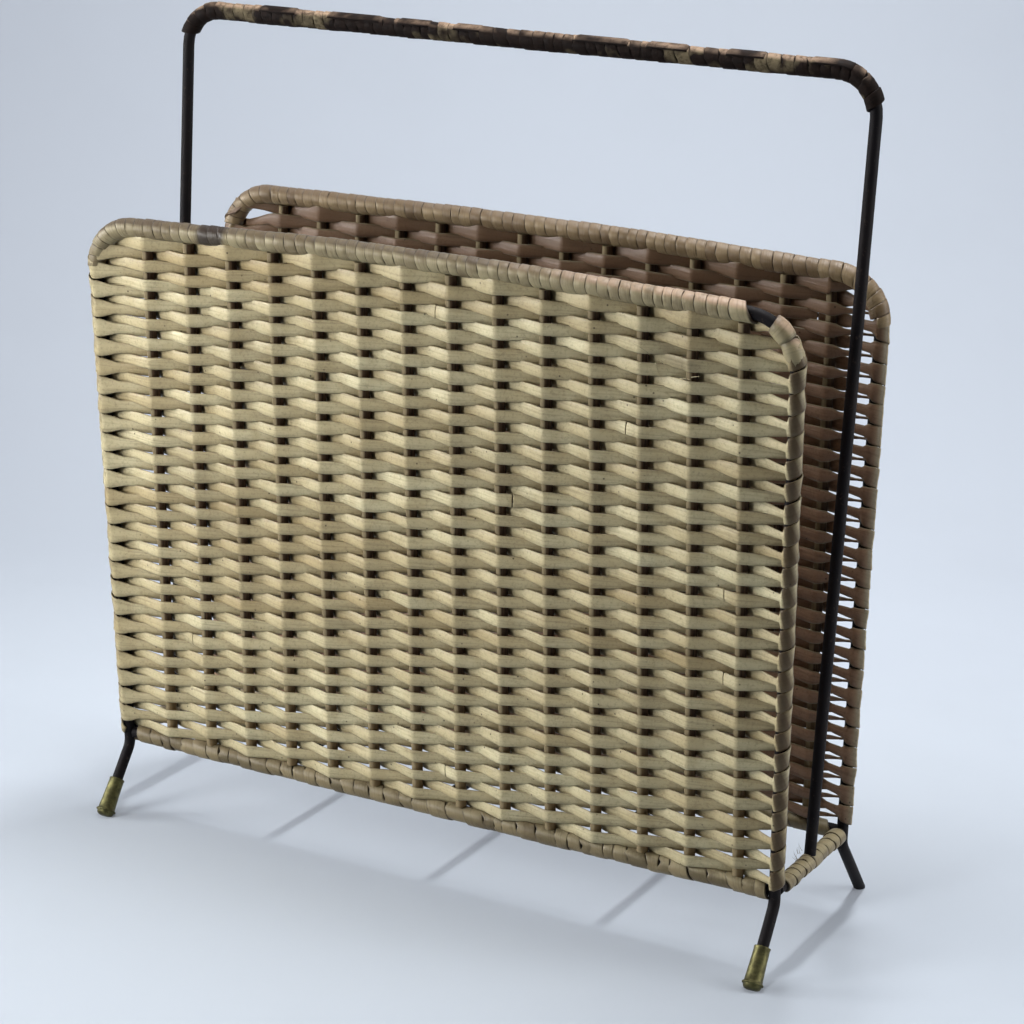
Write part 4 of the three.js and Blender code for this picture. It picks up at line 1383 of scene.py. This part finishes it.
class BASKET_OT_stage(bpy.types.Operator):
    """Add the camera, the lights and the pale sheet that is floor and backdrop"""

    bl_idname = "basket.stage"
    bl_label = "Stage"

    def execute(self, context):
        stage = settings()[3]
        self.sheet(stage)
        self.camera(stage)
        for lamp in LAMPS:
            self.lamp(*lamp)
        self.world(context.scene)
        context.scene.view_settings.view_transform = "Standard"
        return {"FINISHED"}

    def sheet(self, stage):
        """A floor that sweeps up into a backdrop, extruded from one plane and turned to the camera."""
        select_only()
        bpy.ops.mesh.primitive_plane_add(size=1, location=(0, FLOOR_Y, 0))
        piece = bpy.context.object
        piece.scale = (*FLOOR_SIZE, 1)
        apply_place(piece)
        far = max(vertex.co.y for vertex in piece.data.vertices)
        for vertex in piece.data.vertices:
            vertex.select = vertex.co.y > far - 1e-4
        for edge in piece.data.edges:
            edge.select = all(piece.data.vertices[i].select for i in edge.vertices)
        for face in piece.data.polygons:
            face.select = False
        bpy.ops.object.mode_set(mode="EDIT")
        bpy.ops.mesh.select_mode(type="EDGE")
        bend = {"center": (0, far, SWEEP_RADIUS), "axis": (1, 0, 0)}
        bpy.ops.mesh.spin(steps=SWEEP_STEPS, angle=-math.pi / 2, **bend)
        extrude((0, 0, BACKDROP_HEIGHT))
        bpy.ops.mesh.select_all(action="SELECT")
        bpy.ops.mesh.normals_make_consistent(inside=False)
        bpy.ops.mesh.select_mode(type="VERT")
        bpy.ops.object.mode_set(mode="OBJECT")
        if piece.data.polygons[0].normal.z < 0:
            piece.data.flip_normals()
        piece.rotation_euler = (0, 0, math.radians(stage.azimuth))
        apply_place(piece)
        smooth(piece)
        piece.name = "stage_sheet"
        piece.data.materials.append(material("matt_paper_sheet", draw_paper_sheet))

    def camera(self, stage):
        """The camera stands where the photograph was taken from."""
        azimuth, elevation, roll = (math.radians(v) for v in (stage.azimuth, stage.elevation, stage.roll))
        level = math.cos(elevation)
        back = Vector((math.sin(azimuth) * level, -math.cos(azimuth) * level, math.sin(elevation)))
        right = Vector((math.cos(azimuth), math.sin(azimuth), 0))
        up = back.cross(right)
        # The photograph's middle lies beside the basket's own
        middle = FLOOR_MIDDLE + Vector((-BOTTOM_SHIFT, 0, AIM_HEIGHT))
        target = middle + right * AIM_RIGHT - up * AIM_DOWN
        turned_right = right * math.cos(roll) + up * math.sin(roll)
        turned_up = up * math.cos(roll) - right * math.sin(roll)
        data = bpy.data.cameras.new("photo_camera")
        data.lens = stage.lens
        data.sensor_width = 36
        camera = placed("photo_camera", data)
        turn = Matrix((turned_right, turned_up, back)).transposed().to_4x4()
        camera.matrix_world = Matrix.Translation(target + back * stage.distance) @ turn
        bpy.context.scene.camera = camera

    def lamp(self, name, place, aim, size, spread, watts):
        """A soft rectangular lamp that looks at a point."""
        data = bpy.data.lights.new(name, "AREA")
        data.shape = "RECTANGLE"
        data.size, data.size_y = size
        data.spread = math.radians(spread)
        data.energy = watts
        lamp = placed(name, data)
        lamp.location = place
        lamp.rotation_euler = (Vector(aim) - Vector(place)).to_track_quat("-Z", "Y").to_euler()

    def world(self, scene):
        """A dim surround that the eye sees pale, so that the basket stands in the open from every side."""
        scene.world = bpy.data.worlds.new("pale_surround")
        look = Look(scene.world)
        seen = look.add("Math", {0: look.background_rays(), 1: 0.2, 2: 0.02}, operation="MULTIPLY_ADD")[0]
        eye = look.add("LightPath")["Is Camera Ray"]
        strength = look.add("Math", {0: eye, 1: 0.44, 2: seen}, operation="MULTIPLY_ADD")[0]
        shade = look.add("Background", {"Color": rgba("D8E0EE"), "Strength": strength})
        look.add("OutputWorld", {"Surface": shade["Background"]})


class BASKET_PT_tools(bpy.types.Panel):
    """Lists the operators in the order in which they build the basket"""

    bl_idname = "BASKET_PT_tools"
    bl_label = "Wicker magazine basket"
    bl_space_type = "VIEW_3D"
    bl_region_type = "UI"
    bl_category = "Basket"

    def draw(self, context):
        for operator in OPERATORS:
            self.layout.operator(operator.bl_idname)
        for group in settings():
            for name in group.__annotations__:
                self.layout.prop(group, name)


OPERATORS = (
    BASKET_OT_frame_rods,
    BASKET_OT_rails,
    BASKET_OT_handle_rod,
    BASKET_OT_ferrules,
    BASKET_OT_stakes,
    BASKET_OT_weavers,
    BASKET_OT_rail_lapping,
    BASKET_OT_grip_lapping,
    BASKET_OT_loose_fibres,
    BASKET_OT_stage,
)

GROUPS = {
    "basket_steel": BasketSteelSettings,
    "basket_weave": BasketWeaveSettings,
    "basket_lapping": BasketLappingSettings,
    "basket_stage": BasketStageSettings,
}


def register():
    """Registers the classes and puts the settings on the scene."""
    for name, group in GROUPS.items():
        bpy.utils.register_class(group)
        setattr(bpy.types.Scene, name, PointerProperty(type=group))
    for cls in (*OPERATORS, BASKET_PT_tools):
        bpy.utils.register_class(cls)


def unregister():
    """Takes the classes and the settings away again."""
    for cls in reversed((*OPERATORS, BASKET_PT_tools)):
        bpy.utils.unregister_class(cls)
    for name, group in GROUPS.items():
        delattr(bpy.types.Scene, name)
        bpy.utils.unregister_class(group)


def main():
    """Builds the basket and its stage."""
    register()
    for operator in OPERATORS:
        group, name = operator.bl_idname.split(".")
        getattr(getattr(bpy.ops, group), name)()


if __name__ == "__main__":
    main()
